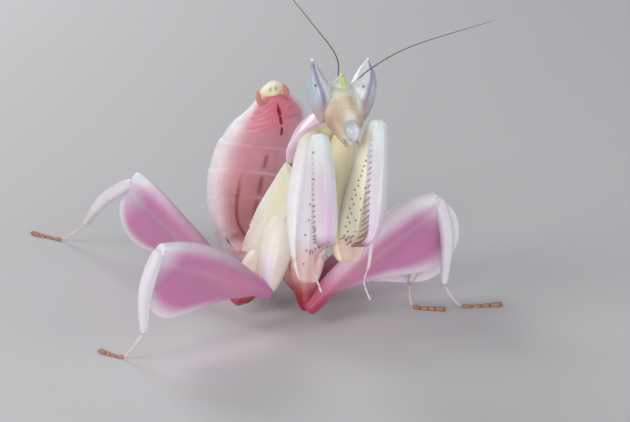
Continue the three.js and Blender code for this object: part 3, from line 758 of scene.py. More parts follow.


# Each eye's painted pseudopupil, the dark spot where the facets look straight at the camera, as the
# angle's cosine towards the head's middle and the share down the eye, and where its purple stripe
# starts and how far it drifts to the middle.
EYE_PSEUDOPUPILS = {"eye_right": (-0.5, 0.44), "eye_left": (0.6, 0.5)}
EYE_STRIPES = {"eye_right": (-0.22, 0.4), "eye_left": (0.05, 0.3)}
PSEUDOPUPIL_SIZE = 0.13


def eye_patches(name, side):
    """A compound eye: a cone with a full outer side and a straight inner one, whose back leans to
    the head's middle. It ends in a small knob, and purple stripes run down its front."""
    outer = profile(0.3, 0.38, 0.8, 1.05, 1.12, 1.1, 1.06, 0.9, 0.6)
    inner = profile(0.2, 0.34, 0.54, 0.78, 1.12, 1.25, 1.1, 0.9, 0.6)
    depth = profile(0.25, 0.5, 0.9, 1.15, 1.3, 1.3, 1.2, 0.9, 0.6)

    def section(share, cos, sin):
        inward = -side * cos
        width = np.where(inward > 0, inner(share), outer(share))
        knob = 1 - 0.3 * swell(share, 0.05, 0.02)
        lean = 0.3 * ramp(share, 0.02, 0.25) * side * sin
        return width * cos * knob + lean, depth(share) * sin * knob

    tube = Tube(on_head(EYE_LINE, side), HEAD_LEFT, section)
    pseudopupil_in, pseudopupil_share = EYE_PSEUDOPUPILS[name]
    pseudopupil_place = tube.at(tube.turn_at(np.array([pseudopupil_share])), np.array([math.acos(-side * pseudopupil_in)]))
    stripe_start, stripe_drift = EYE_STRIPES[name]

    def paint(share, cos, sin, place):
        inward = -side * cos
        front = ramp(sin, -0.2, 0.1)
        middle = stripe_start + stripe_drift * ramp(share, 0.3, 0.85)
        length = ramp(share, 0.03, 0.12) * ramp(-share, -0.9, -0.68)
        stripe = swell(inward, middle, 0.17) + 0.3 * swell(inward, middle - 0.4, 0.07)
        band = ramp(inward, middle + 0.15, middle + 0.4) * ramp(-share, -0.9, -0.7)
        low = ramp(share + 0.12 * inward, 0.55, 0.8)
        shade = 0.6 * swell(share, 0.13, 0.04) * ramp(-inward, -0.5, 0.3)
        # spot: the painted pseudopupil, the shade seen down the facets that face the camera
        spot = ramp(-np.linalg.norm(place - pseudopupil_place[0], axis=-1), -PSEUDOPUPIL_SIZE, -0.5 * PSEUDOPUPIL_SIZE)
        return {
            "blush": np.clip(0.85 * length * stripe + shade, 0, 1) * front,
            "pale": np.clip(0.6 * band + ramp(-share, -0.07, -0.03), 0, 1),
            "tint": low,
            "mark": spot * front,
        }

    return [tube.skin(140, 96, paint)]


def antenna_patches(line, radius):
    """A feeler: a short thick base joint, a ring, and a thread that thins to its tip in many
    joints, where the radius swells by 0.09 of itself once every 0.3 mm."""
    points = np.asarray(line, float)
    length = np.linalg.norm(np.diff(smooth_line(points)(np.linspace(0, 1, 200))[0], axis=0), axis=-1).sum()

    def section(share, cos, sin):
        joints = 1 + 0.09 * np.sin(share * length / 0.3 * 2 * np.pi)
        thread = radius * (1 - 0.62 * share) * joints
        base = 0.1 * ramp(-share, -0.035, -0.02) + 0.05 * swell(share, 0.045, 0.008)
        return (thread + base) * cos, (thread + base) * sin

    def paint(share, cos, sin, place):
        rings = 0.25 * (1 + np.sin(share * length / 0.6 * 2 * np.pi)) / 2
        return {"pale": ramp(-share, -0.13, -0.09), "mark": rings * ramp(share, 0.1, 0.3)}

    return [Tube(points, HEAD_FORWARD, section, 0.3).skin(420, 10, paint)]


# ---------------------------------------------------------------- thorax


TRUNK_HEADWARD = unit(TRUNK_LEAN)
TRUNK_DORSAL = unit(np.cross(TRUNK_HEADWARD, LEFT))


def pronotum_patches():
    """The saddle-shaped shield: a leaf whose middle arches up, with a raised bead along its rim,
    a low keel and a crease across its front third."""
    width = profile(*PRONOTUM_WIDTH)
    line = np.asarray(PRONOTUM_LINE) - PRONOTUM_SINK * TRUNK_DORSAL

    def section(share, cos, sin):
        rim = swell(np.abs(cos), 1.0, 0.12)
        outer = ramp(-sin, 0.0, 0.4)
        keel = 0.12 * swell(cos, 0, 0.06) * outer
        crease = 0.1 * swell(share, 0.36 + 0.05 * cos * cos, 0.02) * outer
        thick = 0.17 + 0.16 * rim
        arch = PRONOTUM_ARCH * sin * sin * np.where(sin < 0, 1, -0.15)
        return width(share) * cos, thick * sin - arch - keel + crease

    def paint(share, cos, sin, place):
        under = ramp(sin, -0.1, 0.3)
        rim = ramp(np.abs(cos), 0.5, 0.95)
        corner = ramp(share, 0.76, 0.86) * ramp(-cos, 0.7, 0.92)
        return {
            "blush": np.clip(rim + 0.25 * (1 - under), 0, 1),
            # pale: a painted highlight along the very edge of the rim
            "pale": 0.35 * swell(np.abs(cos), 0.97, 0.06),
            "tint": 0.8 * under * (1 - rim),
            "mark": 0.9 * corner,
        }

    return [Tube(line, LEFT, section).skin(110, 120, paint)]


def prothorax_patches():
    """The soft front of the trunk with the collar, and the neck that carries the head."""
    body = oval(profile(1.6, 2.5, 2.5, 1.8), profile(0.9, 1.6, 1.7, 1.5))

    def section(share, cos, sin):
        x, y = body(share, cos, sin)
        fold = 1 - 0.035 * swell(share, 0.3, 0.03) - 0.03 * swell(share, 0.62, 0.03)
        return x * fold, y * fold

    def paint(share, cos, sin, place):
        return {
            "blush": 0.15 * ramp(-cos, 0.1, 0.8),
            "pale": 0.3 * ramp(-share, -0.2, -0.05),
            "tint": ramp(sin, -0.2, 0.6),
        }

    trunk = Tube(PROTHORAX_LINE, LEFT, section, 0.35).skin(90, 72, paint)
    neck = Tube(NECK_LINE, LEFT, oval(profile(1.0, 0.9, 0.9), profile(0.9, 0.8, 0.8)))
    return [trunk, neck.skin(40, 40, lambda s, *_: {"blush": 0.5 * swell(s, 0.5, 0.2)})]


def thorax_patches():
    """Mesothorax and metathorax as one skin, creased between the two rings and at the sockets."""
    body = oval(profile(1.4, 2.1, 2.2, 2.0), profile(1.3, 1.9, 1.9, 1.6))

    def section(share, cos, sin):
        x, y = body(share, cos, sin)
        sockets = swell(share, 0.28, 0.015) + swell(share, 0.75, 0.015)
        crease = 1 - 0.06 * swell(share, 0.5, 0.02) - 0.03 * sockets
        return x * crease, y * crease

    def paint(share, cos, sin, place):
        return {
            "blush": 0.75 * ramp(share, 0.55, 1.0) * ramp(sin, -0.3, 0.5),
            "mark": 0.35 * swell(share, 0.5, 0.012) + 0.5 * swell(cos, 0, 0.05) * ramp(-sin, 0.4, 0.8),
            "pale": 0.5 * ramp(-sin, -0.1, 0.6),
        }

    return [Tube(THORAX_LINE, LEFT, section, 0.12).skin(120, 90, paint)]


PAD_VEINS = (-0.72, -0.4, -0.08, 0.24, 0.56)


def pad_veins(cos, width):
    """Bell curves at the pad's veins, each a cosine across it."""
    return sum(swell(cos, middle, width) for middle in PAD_VEINS)


def wing_pad_patches(steps, side):
    """A wing pad: a thin leaf with a bright leading edge and veins that run together at its tip."""
    line = TRUNK_CENTRE + np.asarray(steps) @ np.stack([side * LEFT, TRUNK_HEADWARD, TRUNK_DORSAL])
    dorsal = profile(*WING_PAD_DORSAL)
    ventral = profile(*WING_PAD_VENTRAL)

    def section(share, cos, sin):
        width = np.where(cos > 0, dorsal(share), ventral(share))
        thick = 0.2 * (1 - 0.35 * np.abs(cos) ** 3) + 0.02 * pad_veins(cos, 0.05) * ramp(share, 0.05, 0.2)
        return width * cos, thick * sin

    def paint(share, cos, sin, place):
        veins = pad_veins(cos, 0.06)
        return {
            "pale": np.clip(ramp(cos, 0.6, 0.92) + 0.5 * ramp(-cos, 0.6, 0.92) + 0.12 * veins, 0, 1),
            "tint": np.clip(0.6 * ramp(-share, -0.7, -0.1) * (1 - 0.3 * veins)
                            + 0.8 * ramp(-cos, -0.4, 0.3), 0, 1),
            "blush": 0.7 * ramp(share, 0.6, 1.0) * ramp(cos, -0.6, 0.2),
            "mark": 0.5 * swell(share, 0.985, 0.01),
        }

    return [Tube(line, TRUNK_DORSAL, section).skin(100, 96, paint)]


# ---------------------------------------------------------------- abdomen


# The dark dashes down the tail's middle: share, half length as a share and half width as a cosine.
TAIL_DASHES = ((0.93, 0.034, 0.07), (0.874, 0.026, 0.052), (0.818, 0.021, 0.04), (0.969, 0.008, 0.03))


EDGE_BOW = 0.022
EDGE_SHIFT = 0.012


def ring_phase(share, cos, sin):
    """Where a place stands in its ring, from 0 at the ring's front edge to 1 at its rear one, and
    the distance to the nearest edge as a share. Across the back the edges bow to the tail."""
    bent = share - EDGE_BOW * (1 - cos * cos) * ramp(-sin, 0, 0.5) + EDGE_SHIFT
    bent = np.clip(bent, 0, 0.9999)
    edges = np.array([0.0] + RING_ENDS)
    ring = np.clip(np.searchsorted(edges, bent, side="right") - 1, 0, len(RING_ENDS) - 1)
    start, end = edges[ring], edges[ring + 1]
    return (bent - start) / (end - start), np.minimum(bent - start, end - bent)


def abdomen_patches(girth):
    """One skin over the eight rings. Each ring swells to its rear edge, which stands over the
    next ring as a small step, and the last rings are gathered in fine curved folds."""
    width = profile(*ABDOMEN_WIDTH)
    dorsal = profile(*ABDOMEN_DORSAL)
    ventral = profile(*ABDOMEN_VENTRAL)

    def section(share, cos, sin):
        phase, edge = ring_phase(share, cos, sin)
        step = 1 + 0.03 * (phase - 0.5) * ramp(edge, 0, 0.006)
        wander = 0.05 * cos * cos + 0.012 * np.sin(7 * cos)
        gather = np.sin(2 * np.pi * (share + wander) / 0.038) * ramp(share, 0.76, 0.84)
        gather = gather * (0.25 + 0.75 * swell(np.abs(cos), 0.55, 0.22))
        back = ramp(-sin, 0.1, 0.6)
        depth = np.where(sin > 0, ventral(share), dorsal(share))
        hollow = 0.16 * swell(np.abs(cos), 0.72, 0.16) * back
        y = depth * sin * step + hollow + 0.035 * gather * back
        return girth * width(share) * cos * step, girth * y

    def paint(share, cos, sin, place):
        phase, edge = ring_phase(share, cos, sin)
        back = ramp(-sin, -0.1, 0.3)
        narrow = ramp(share, 0.78, 0.92)
        # flank: the pale edges, partly the abdomen's own white and partly a painted rim highlight of light
        # from behind, which widens the band on the animal's right
        soft = 0.1 * ramp(-cos, 0, 0.4)
        flank = ramp(np.abs(cos), 0.66 - soft + 0.16 * narrow, 0.94 + soft + 0.06 * narrow)
        seam = swell(edge, 0, 0.004) * ramp(share, 0.2, 0.45) * ramp(-share, -0.8, -0.7)
        middle = 0.045 + 0.62 * (0.965 - share)
        tail_line = sum(ramp(-((cos - middle) / wide) ** 2 - ((share - spot) / long) ** 2, -1.2, -0.7)
                        for spot, long, wide in TAIL_DASHES)
        trunk_line = swell(cos, -0.06, 0.045) * ramp(share, 0.3, 0.36) * ramp(-share, -0.71, -0.68)
        trunk_line = trunk_line * ramp(phase, 0.05, 0.3) * ramp(-phase, -0.98, -0.8)
        beside = np.abs(np.abs(cos) - (0.28 + 0.2 * ramp(share, 0.2, 0.42)))
        side_line = swell(beside, 0, 0.038) * ramp(share, 0.16, 0.24) * ramp(-share, -0.62, -0.5)
        low_line = swell(np.abs(cos), 0.86, 0.03) * ramp(share, 0.14, 0.18) * ramp(-share, -0.31, -0.27)
        folds = swell(np.sin(2 * np.pi * (share + 0.06 * cos * cos) / 0.052), 1, 0.3)
        folds = folds * swell(np.abs(cos), 0.62, 0.12) * ramp(share, 0.8, 0.86)
        # Painted light: a paler band on the animal's left of the back, over the middle rings, that lightens
        # the side facing away from the key light
        painted_lit_side = 0.5 * ramp(cos, 0.15, 0.75) * back * ramp(share, 0.35, 0.55) * ramp(-share, -0.95, -0.7)
        marks = 1.3 * tail_line + 0.7 * trunk_line + 0.95 * side_line + 0.9 * low_line + 0.24 * folds
        return {
            # tint: the darker brownish pink over the low first rings, partly the abdomen's own colour and
            # partly painted shade
            "tint": 0.9 * ramp(-share, -0.76, -0.42) * (1 - flank) * (1 - 0.7 * ramp(cos, 0.2, 0.5)),
            "blush": np.clip(ramp(share, 0.72, 0.93) * (1 - 0.85 * flank) * back
                             * (0.5 + 0.5 * swell(cos, 0.1, 0.45) * ramp(share, 0.78, 0.9))
                             * (1 - 0.25 * ramp(cos, 0.2, 0.7)), 0, 1),
            "pale": np.clip(0.95 * flank * ramp(share, 0.08, 0.3) + 0.22 * seam * ramp(cos, -0.6, 0.3)
                            + 0.35 * (1 - back) + painted_lit_side, 0, 1),
            "mark": np.clip(marks * back, 0, 1),
        }

    return [Tube(ABDOMEN_LINE, ABDOMEN_ACROSS, section, 0.12).skin(340, 200, paint)]


def tail_patches():
    """The plate over the tail's end, a small dome with two dark spots."""
    half_width = profile(1.55, 1.2, 0.6)
    half_depth = profile(0.7, 0.45, 0.3)

    def section(share, cos, sin):
        return half_width(share) * cos - 0.18, half_depth(share) * sin

    def paint(share, cos, sin, place):
        spots = swell(np.abs(cos + 0.05), 0.27, 0.1) * swell(share, 0.6, 0.14) * ramp(-sin, 0, 0.5)
        return {
            "mark": 0.9 * spots,
            "blush": 0.4 * ramp(-share, -0.3, -0.1),
            "pale": 0.7 * ramp(share, 0.4, 0.9),
        }

    return [Tube(TAIL_PLATE_LINE, ABDOMEN_ACROSS, section).skin(48, 56, paint)]


def cercus_patches(line):
    """A cercus: a short tapering feeler of beaded joints."""
    radius = profile(0.3, 0.29, 0.22, 0.08)

    def section(share, cos, sin):
        beads = 1 + 0.1 * np.abs(np.sin(share * 7 * np.pi))
        return radius(share) * beads * cos, radius(share) * beads * sin

    return [Tube(line, ABDOMEN_ACROSS, section).skin(70, 20, lambda s, *_: {
        "blush": 0.6 + 0 * s,
        "pale": 0.4 * ramp(s, 0.8, 1.0),
        "mark": 0.3 * swell(np.sin(s * 7 * np.pi), 0, 0.2),
    })]


# ---------------------------------------------------------------- walking legs


FEMUR_RADIUS = profile(1.1, 1.0, 0.9, 0.8, 0.8)


def leg_axes(leg):
    """The way along the femur, the flexor side square to it, the section's across axis, and
    whether that axis points to the animal's rear (1) or front (-1)."""
    hip, knee, ankle = (np.asarray(leg[key]) for key in ("hip", "knee", "ankle"))
    femur_way = unit(knee - hip)
    shin_way = ankle - knee
    flexor = unit(shin_way - (shin_way @ femur_way) * femur_way)
    across = np.cross(flexor, femur_way)
    return femur_way, flexor, across, np.sign(across @ REARWARD)


def lobe_share(leg, share):
    """The lobe's outline: a rising sine to its peak, then a quarter ellipse down to the knee."""
    peak = leg["lobe_peak"]
    rise = np.sin(np.pi / 2 * np.clip(share / peak, 0, 1)) ** leg["lobe_rise"]
    past = np.clip((share - peak) / (LOBE_END - peak), 0, 1)
    return np.where(share < peak, rise, np.sqrt(1 - past * past))


def femur_patches(leg, reach_most, rim_width, redness):
    """A walking femur with its petal: a round stem that thins out into the lobe, a low rib where
    they meet, and fine veins that fan out to the rim."""
    hip, knee = np.asarray(leg["hip"]), np.asarray(leg["knee"])
    femur_way, flexor, across, rear = leg_axes(leg)
    middle = (hip + knee) / 2 - leg["bow"] * flexor
    crest = profile(*leg["crest"])

    def reach_of(share):
        return np.maximum(FEMUR_RADIUS(share), reach_most * lobe_share(leg, share))

    def section(share, cos, sin):
        radius = FEMUR_RADIUS(share)
        reach = reach_of(share)
        lobed = sin > 0
        y = np.where(lobed, reach, crest(share)) * sin
        blend = np.where(lobed, ramp(y, *LOBE_ROOT), 0)
        leaf = THIN * (1 - 0.45 * np.clip(y / reach, 0, 1) ** 3) / np.maximum(np.abs(cos), 0.5)
        rib = 0.03 * swell(y, 1.15, 0.16) * ramp(share, 0.1, 0.3) * ramp(-share, -0.95, -0.8)
        fan = np.sin(26 * (y / reach_most + 0.55 * share) * 2) * 0.012 * ramp(y, 1.5, 2.5)
        half = radius + (leaf - radius) * blend + rib + fan
        x = half * cos + rear * (LOBE_SETBACK * blend + LOBE_LEAN * np.where(lobed, y, 0))
        return x, y, leg["rake"] * y * blend

    def paint(share, cos, sin, place):
        reach = reach_of(share)
        y = np.where(sin > 0, reach, crest(share)) * sin
        to_rim = reach - y
        rim = 1 - ramp(to_rim, 0.02 * rim_width, rim_width * (leg["rim"] + 0.5 * share))
        rim = rim * ramp(share, 0.15, 0.5) * (sin > 0)
        knee_side = ramp(share, 0.8, 1.02)
        stem = 0.75 * ramp(-y, leg["stem"] - 0.9, leg["stem"] + 0.7) * ramp(share, 0.12, 0.5)
        rib = 0.1 * swell(y, 1.3, 0.35) * ramp(share, 0.2, 0.5)
        glow = swell(y, 0.9, 1.5) * ramp(share, 0.05, 0.25) * ramp(-share, -0.8, -0.45)
        dots = swell(np.sin(40 * share), 1, 0.03) * swell(y, -0.2, 0.1) * ramp(share, 0.8, 0.9)
        return {
            "pale": np.clip(0.9 * rim + 0.85 * knee_side + stem + rib, 0, 1),
            "tint": np.clip(0.85 * glow, 0, 1),
            # blush: the deep red at the femur's base, partly its own colour and partly painted shade under
            # the body
            "blush": redness * ramp(-share, -0.34, -0.03),
            "mark": 0.6 * dots,
        }

    femur = Tube([hip, middle, knee + KNEE_CAP * femur_way], across, section, 0.2)
    return [femur.skin(190, 150, paint)]


def coxa_patches(leg, light):
    """The hip piece: an oval from the socket down to the hip, with a crease round it where the
    trochanter starts and two keels along it. A light one is cream with a lavender keel, a painted
    highlight. The others deepen to red towards the floor, partly their own red and partly painted
    shade under the body, and darken just above the floor as painted shade."""
    _, _, across, _ = leg_axes(leg)
    radius = profile(1.3, 1.5, 1.5, 1.3, 1.0)

    def section(share, cos, sin):
        crease = 1 - 0.02 * swell(share, 0.72, 0.015) - 0.02 * swell(share, 0.86, 0.01)
        keels = 1 + 0.05 * swell(np.abs(cos), 0.75, 0.12)
        return radius(share) * cos * crease * keels, radius(share) * sin * crease * keels

    def paint(share, cos, sin, place):
        height = place[..., 2]
        if light:
            across_socket = place[..., 0] - leg["socket"][0] - share * (leg["hip"][0] - leg["socket"][0])
            # keel: a painted highlight strip down the hip's keel
            keel = swell(across_socket, -0.36, 0.42) * ramp(-height, -8.5, -6.5)
            return {
                "pale": np.clip(keel, 0, 1),
                "tint": ramp(height, 6.0, 8.0),
                "mark": 0.1 * swell(share, 0.72, 0.012),
            }
        # Paler at the top, red lower down and darker just above the floor: partly the hip's own red and
        # partly painted shade under the body
        return {
            "pale": ramp(height, 0.55 * leg["socket"][2], 0.76 * leg["socket"][2]),
            "blush": 0.8 * swell(height, 0.56 * leg["socket"][2], 1.0),
            "mark": 0.12 * swell(share, 0.72, 0.012) + 0.25 * ramp(-height, -1.6, -0.6),
        }

    return [Tube([leg["socket"], leg["hip"]], across, section).skin(80, 64, paint)]


def tibia_patches(leg, tint):
    """A walking shin: a rounded bar with four low keels, a knee bulb, fine bristles along its
    edges and two spurs at its end."""
    knee, ankle = np.asarray(leg["knee"]), np.asarray(leg["ankle"])
    femur_way, flexor, across, _ = leg_axes(leg)
    knee_tip = knee + KNEE_CAP * femur_way
    shin = (knee + ankle) / 2 + SHIN_BOW * femur_way
    width = profile(0.74, 0.66, 0.6, 0.54, 0.52)
    depth = profile(0.8, 0.74, 0.66, 0.56, 0.52)

    def section(share, cos, sin):
        keels = 1 + 0.07 * np.cos(4 * np.arctan2(sin, cos) + np.pi)
        return width(share) * cos * keels, depth(share) * sin * keels

    def paint(share, cos, sin, place):
        keel = ramp(-np.cos(4 * np.arctan2(sin, cos)), 0.4, 0.95)
        return {
            "pale": np.clip(0.75 - 0.35 * keel + 0 * share, 0, 1),
            "tint": tint * ramp(share, 0.62, 0.85),
            "blush": 0.12 * swell(share, 0.4, 0.3),
            "mark": 0.5 * ramp(share, 0.97, 1.0),
        }

    bar = Tube([knee_tip, shin, ankle], across, section)
    patches = [bar.skin(110, 40, paint)]
    shares = np.linspace(0.18, 0.92, 15)
    for angle in (0.8, 2.34, 3.9, 5.5):
        patches.append(thorns_on(bar, shares, angle, 1.6, 0, 0.16, 0.022, sides=5, rings=2))
    end = ankle + 0.05 * unit(knee - ankle)
    down = bar.line(np.array(0.98))[1]
    for lean in (-1, 1):
        root = end + 0.3 * lean * across - 0.05 * flexor
        patches.append(thorns(root, root + 0.55 * unit(down + 0.45 * lean * across), 0.07, dark=0.5))
    return patches


TARSUS_JOINTS = [(0.0, 0.5), (0.5, 0.64), (0.64, 0.75), (0.75, 0.84), (0.84, 0.965)]


def tarsus_patches(leg):
    """A foot of five joints on small pads: a long pale one, three short brown ones and a last one
    with two hooked claws."""
    line = [leg["ankle"], leg["heel"], leg["toe"]]
    path = smooth_line(line)
    patches = []
    for number, (start, stop) in enumerate(TARSUS_JOINTS):
        slim = number == 0
        wide = profile(0.15, 0.13, 0.17) if slim else profile(0.13, 0.2, 0.23)
        tall = profile(0.16, 0.14, 0.17) if slim else profile(0.15, 0.24, 0.26)
        brown = 0.12 if slim else 0.9

        def paint(share, cos, sin, place, brown=brown, start=start, stop=stop, slim=slim):
            phase = (share - start) / (stop - start)
            return {
                "tint": np.clip(brown * (0.75 + 0.25 * phase) + 0.6 * slim * ramp(phase, 0.9, 1), 0, 1),
                "pale": (0.8 if slim else 0.1) * (1 - ramp(phase, 0.85, 1)),
                "mark": (0.0 if slim else 0.55) * ramp(phase, 0.7, 1.0),
            }

        joint = Tube(line, UPWARD, oval(tall, wide), 0.4, start, stop)
        patches.append(set_on_floor(joint.skin(36, 16, paint)))
        if not slim:
            middle = path(np.array(start + 0.7 * (stop - start)))[0]
            pad = bead(np.array([middle[0], middle[1], 0.1]), 0.17, 0.6, pale=0.35)
            patches.append(set_on_floor(pad))
    end, way = path(np.array(0.94))
    side = unit(np.cross(way, UPWARD))
    for lean in (-1, 1):
        root = end + 0.07 * lean * side + np.array([0, 0, 0.02])
        tip = root + 0.36 * unit(way + 0.45 * lean * side) - np.array([0, 0, 0.18])
        patches.append(set_on_floor(thorns(root, tip, 0.065, 0.09 * UPWARD, rings=6, dark=0.2)))
    return patches


# ---------------------------------------------------------------- forelegs


def foreleg_axes(leg):
    """The way down the femur, the side square to it that faces the shin, and the across axis."""
    hinge, knee, shin = (np.asarray(leg[key]) for key in ("hinge", "knee", "shin"))
    femur_way = unit(hinge - knee)
    shin_way = shin - knee
    inward = unit(shin_way - (shin_way @ femur_way) * femur_way)
    return femur_way, inward, np.cross(inward, femur_way)


def fore_femur_patches(leg, spine_size):
    """A grasping femur: a deep spindle with a shallow channel on its inner face, between two
    low ridges. Rows of short dark spines run down it, set to either side by turns, and a fan of
    longer ones stands across its lower end."""
    knee, hinge = np.asarray(leg["knee"]), np.asarray(leg["hinge"])
    _, inward, across = foreleg_axes(leg)
    width = profile(1.2, 1.25, 1.35, 1.5, 1.3)
    depth = profile(1.3, 1.6, 1.9, 2.2, 1.6)

    def section(share, cos, sin):
        inner = ramp(sin, 0.2, 0.7)
        channel = 0.22 * swell(cos, 0, 0.4) * inner
        ridge = 0.06 * swell(np.abs(cos), 0.55, 0.1) * inner
        keel = 0.05 * swell(cos, 0, 0.14) * ramp(-sin, 0.4, 0.9)
        return width(share) * cos, depth(share) * sin * (1 - channel + ridge + keel)

    def paint(share, cos, sin, place):
        inner = ramp(sin, -0.5, 0.1)
        return {
            "tint": leg["cream"] * np.clip(0.45 + inner, 0, 1) * ramp(share, 0.0, 0.12),
            "blush": 0.9 * ramp(share, 0.58 + 0.2 * leg["cream"], 0.9) * (1 - 0.3 * leg["cream"]),
            "pale": 0.8 * ramp(-share, -0.2, -0.04) + 0.2 * swell(cos, -0.75, 0.2) * (1 - leg["cream"]),
        }

    thigh = (knee + hinge) / 2 - FORE_THIGH_BOW * inward
    femur = Tube([knee, thigh, hinge], across, section, 0.3)
    patches = [femur.skin(150, 100, paint)]
    for first, last, stagger, count in leg["spine_rows"]:
        shares = np.linspace(0.17, 0.84, count) ** 0.85
        angle = np.radians(first + (last - first) * ramp(shares, 0.1, 0.6)
                           + stagger * (-1.0) ** np.arange(count) * ramp(shares, 0.3, 0.6))
        patches.append(thorns_on(femur, shares, angle, -0.5, 0.03, 0.26 * spine_size, 0.085, dark=-1.5))
    patches.append(spine_fan(femur, *leg["fan"], 0.75 * spine_size))
    return patches


def spine_fan(limb, share, first, last, count, length):
    """A fan of spines across the front of a limb, which point down it and spread to its sides."""
    cos = np.linspace(first, last, count)
    turn = limb.turn_at(share + 0.05 * np.sin(3 * np.arange(count)))
    angle = np.arccos(cos)
    root = limb.at(turn, angle)
    down = limb.line(limb.share(turn))[1]
    sizes = length * (0.8 + 0.3 * np.sin(5 * np.arange(count)))
    way = unit(0.5 * limb.normal(turn, angle) + 0.7 * down + 0.8 * cos[:, None] * limb.across)
    return thorns(root - 0.03 * way, root + sizes[:, None] * way, 0.085, dark=-0.8)


COMB_SPINES = 19


def fore_tibia_patches(leg, spine_size):
    """A grasping shin: a blade with a comb of slanted spines that lengthen towards the hooked
    terminal claw, larger dark studs among them on a leg that has dots, and three pale studs on
    the other edge near the knee."""
    knee, shin, claw = (np.asarray(leg[key]) for key in ("knee", "shin", "claw"))
    _, inward, across = foreleg_axes(leg)
    middle = (knee + shin) / 2 + FORESHIN_BOW * inward
    width = profile(*leg["blade"])
    depth = profile(0.9, 0.86, 0.8, 0.7, 0.5, 0.3, 0.16)

    def section(share, cos, sin):
        keel = 1 + 0.08 * swell(np.abs(cos), 0.9, 0.1) + 0.05 * swell(cos, 0.05, 0.1) * (sin > 0)
        return width(share) * cos * keel, depth(share) * sin * keel

    def paint(share, cos, sin, place):
        lilac = 1 - leg["cream"]
        return {
            "blush": np.clip((0.3 + 0.65 * lilac) * ramp(share, 0.14, 0.5) * swell(cos, 0.15, 0.55)
                             + 0.6 * leg["cream"] * ramp(share, 0.45, 0.68), 0, 1),
            "pale": np.clip(ramp(-share, -0.2, -0.06) + 0.4 * swell(cos, -0.1, 0.25) * leg["cream"], 0, 1),
            "tint": (0.35 + 0.5 * lilac) * ramp(-cos, -0.1, 0.4) * ramp(share, 0.14, 0.34),
            "mark": np.clip(0.85 * ramp(share, 0.7, 0.88) + 0.3 * lilac * ramp(share, 0.6, 0.7), 0, 1),
        }

    blade = Tube([knee, middle, shin, claw], across, section, 0.3)
    patches = [blade.skin(150, 72, paint)]
    shares = np.linspace(0.13, 0.7, COMB_SPINES)
    turn = blade.turn_at(shares)
    shortest, longest = leg["comb"]
    sizes = spine_size * (shortest + (longest - shortest) * ramp(shares, 0.05, 0.78))
    root = blade.at(turn, math.acos(-0.9) + 0 * shares)
    way = unit(np.array(leg["comb_way"]) + 0.12 * np.sin(2.3 * np.arange(COMB_SPINES))[:, None] * UPWARD)
    thickness = 0.05 + 0.05 * ramp(shares, 0.2, 0.7)
    droop = -0.1 * sizes[:, None] * UPWARD
    patches.append(thorns(root - 0.12 * way, root + sizes[:, None] * way, thickness, droop, dark=-1.2))
    if leg["dots"]:
        shares = np.array(leg["dots"])
        turn = blade.turn_at(shares)
        root = blade.at(turn, math.acos(-0.85) + 0 * shares)
        patches.append(thorns(root, root + 0.3 * unit(np.array(leg["comb_way"])), 0.1, dark=-1.5))
    shares = np.array([0.1, 0.24, 0.28])
    angle = -math.acos(0.98)
    patches.append(thorns_on(blade, shares, angle, -0.3, 0.06, 0.2, 0.1, dark=0.9, tip_mark=0.0))
    return patches


def fore_coxa_patches(leg):
    """A foreleg's coxa: a long spindle with keels, and small pale teeth down its front keel."""
    width = profile(1.4, 1.4, 1.55, 1.5)
    depth = profile(1.3, 1.4, 1.2, 0.9)

    def section(share, cos, sin):
        keels = 1 + 0.06 * swell(np.abs(cos), 0.85, 0.1) - 0.05 * swell(cos, 0.1, 0.25)
        tail = 1 - 0.08 * swell(share, 0.86, 0.015)
        return width(share) * cos * keels * tail, depth(share) * sin * keels * tail

    def paint(share, cos, sin, place):
        cream = leg["cream"]
        return {
            "tint": np.clip(cream + ramp(cos, 0.2, 0.7) + ramp(-share, -0.3, -0.05), 0, 1),
            "blush": 0.5 * ramp(share, 0.75, 0.95) + 0.45 * (1 - cream) * ramp(-share, -0.2, 0.0),
            "pale": 0.6 * (1 - cream) * ramp(-cos, 0.1, 0.7),
            "mark": 0.15 * swell(share, 0.86, 0.01),
        }

    coxa = Tube([leg["socket"], leg["bend"], leg["hinge"]], LEFT, section, 0.35)
    patches = [coxa.skin(120, 80, paint)]
    shares = np.linspace(0.2, 0.78, 10)
    angle = math.acos(-0.7)
    patches.append(thorns_on(coxa, shares, angle, 0.6, 0.04, 0.14, 0.06, dark=0.7, tip_mark=0.4))
    return patches


FORE_FOOT_JOINTS = [(0.0, 0.46), (0.46, 0.63), (0.63, 0.76), (0.76, 0.87), (0.87, 0.99)]


def fore_tarsus_patches(leg):
    """The thin foot that hangs from a foreleg's shin: five joints, each thicker at its end."""
    _, _, across = foreleg_axes(leg)
    patches = []
    for number, (start, stop) in enumerate(FORE_FOOT_JOINTS):
        radius = profile(0.09, 0.075, 0.11) if number else profile(0.2, 0.14, 0.13)

        def paint(share, cos, sin, place, start=start, stop=stop):
            phase = (share - start) / (stop - start)
            brown = (leg["cream"] < 0.5) * ramp(-share, -0.75, -0.4)
            return {"blush": np.clip(0.35 + 0.45 * ramp(phase, 0.6, 1.0) + brown, 0, 1),
                    "pale": 0.5 * (1 - ramp(phase, 0.7, 1.0)) * (1 - brown),
                    "mark": 0.25 * ramp(phase, 0.93, 1.0) + 0.25 * brown}

        joint = Tube(leg["foot"], across, oval(radius, radius), 0.4, start, stop)
        patches.append(joint.skin(24, 12, paint))
    path = smooth_line(leg["foot"])
    root, way = path(np.array(0.965))
    for lean in (-1, 1):
        tip = root + 0.22 * unit(way + 0.7 * lean * across)
        patches.append(thorns(root, tip, 0.05, 0.03 * lean * across, dark=0.3))
    return patches


# ---------------------------------------------------------------- properties


def colour_property(name, description, default):
    return FloatVectorProperty(
        name=name, description=description, default=default, size=3, min=0.0, max=1.0, subtype="COLOR")


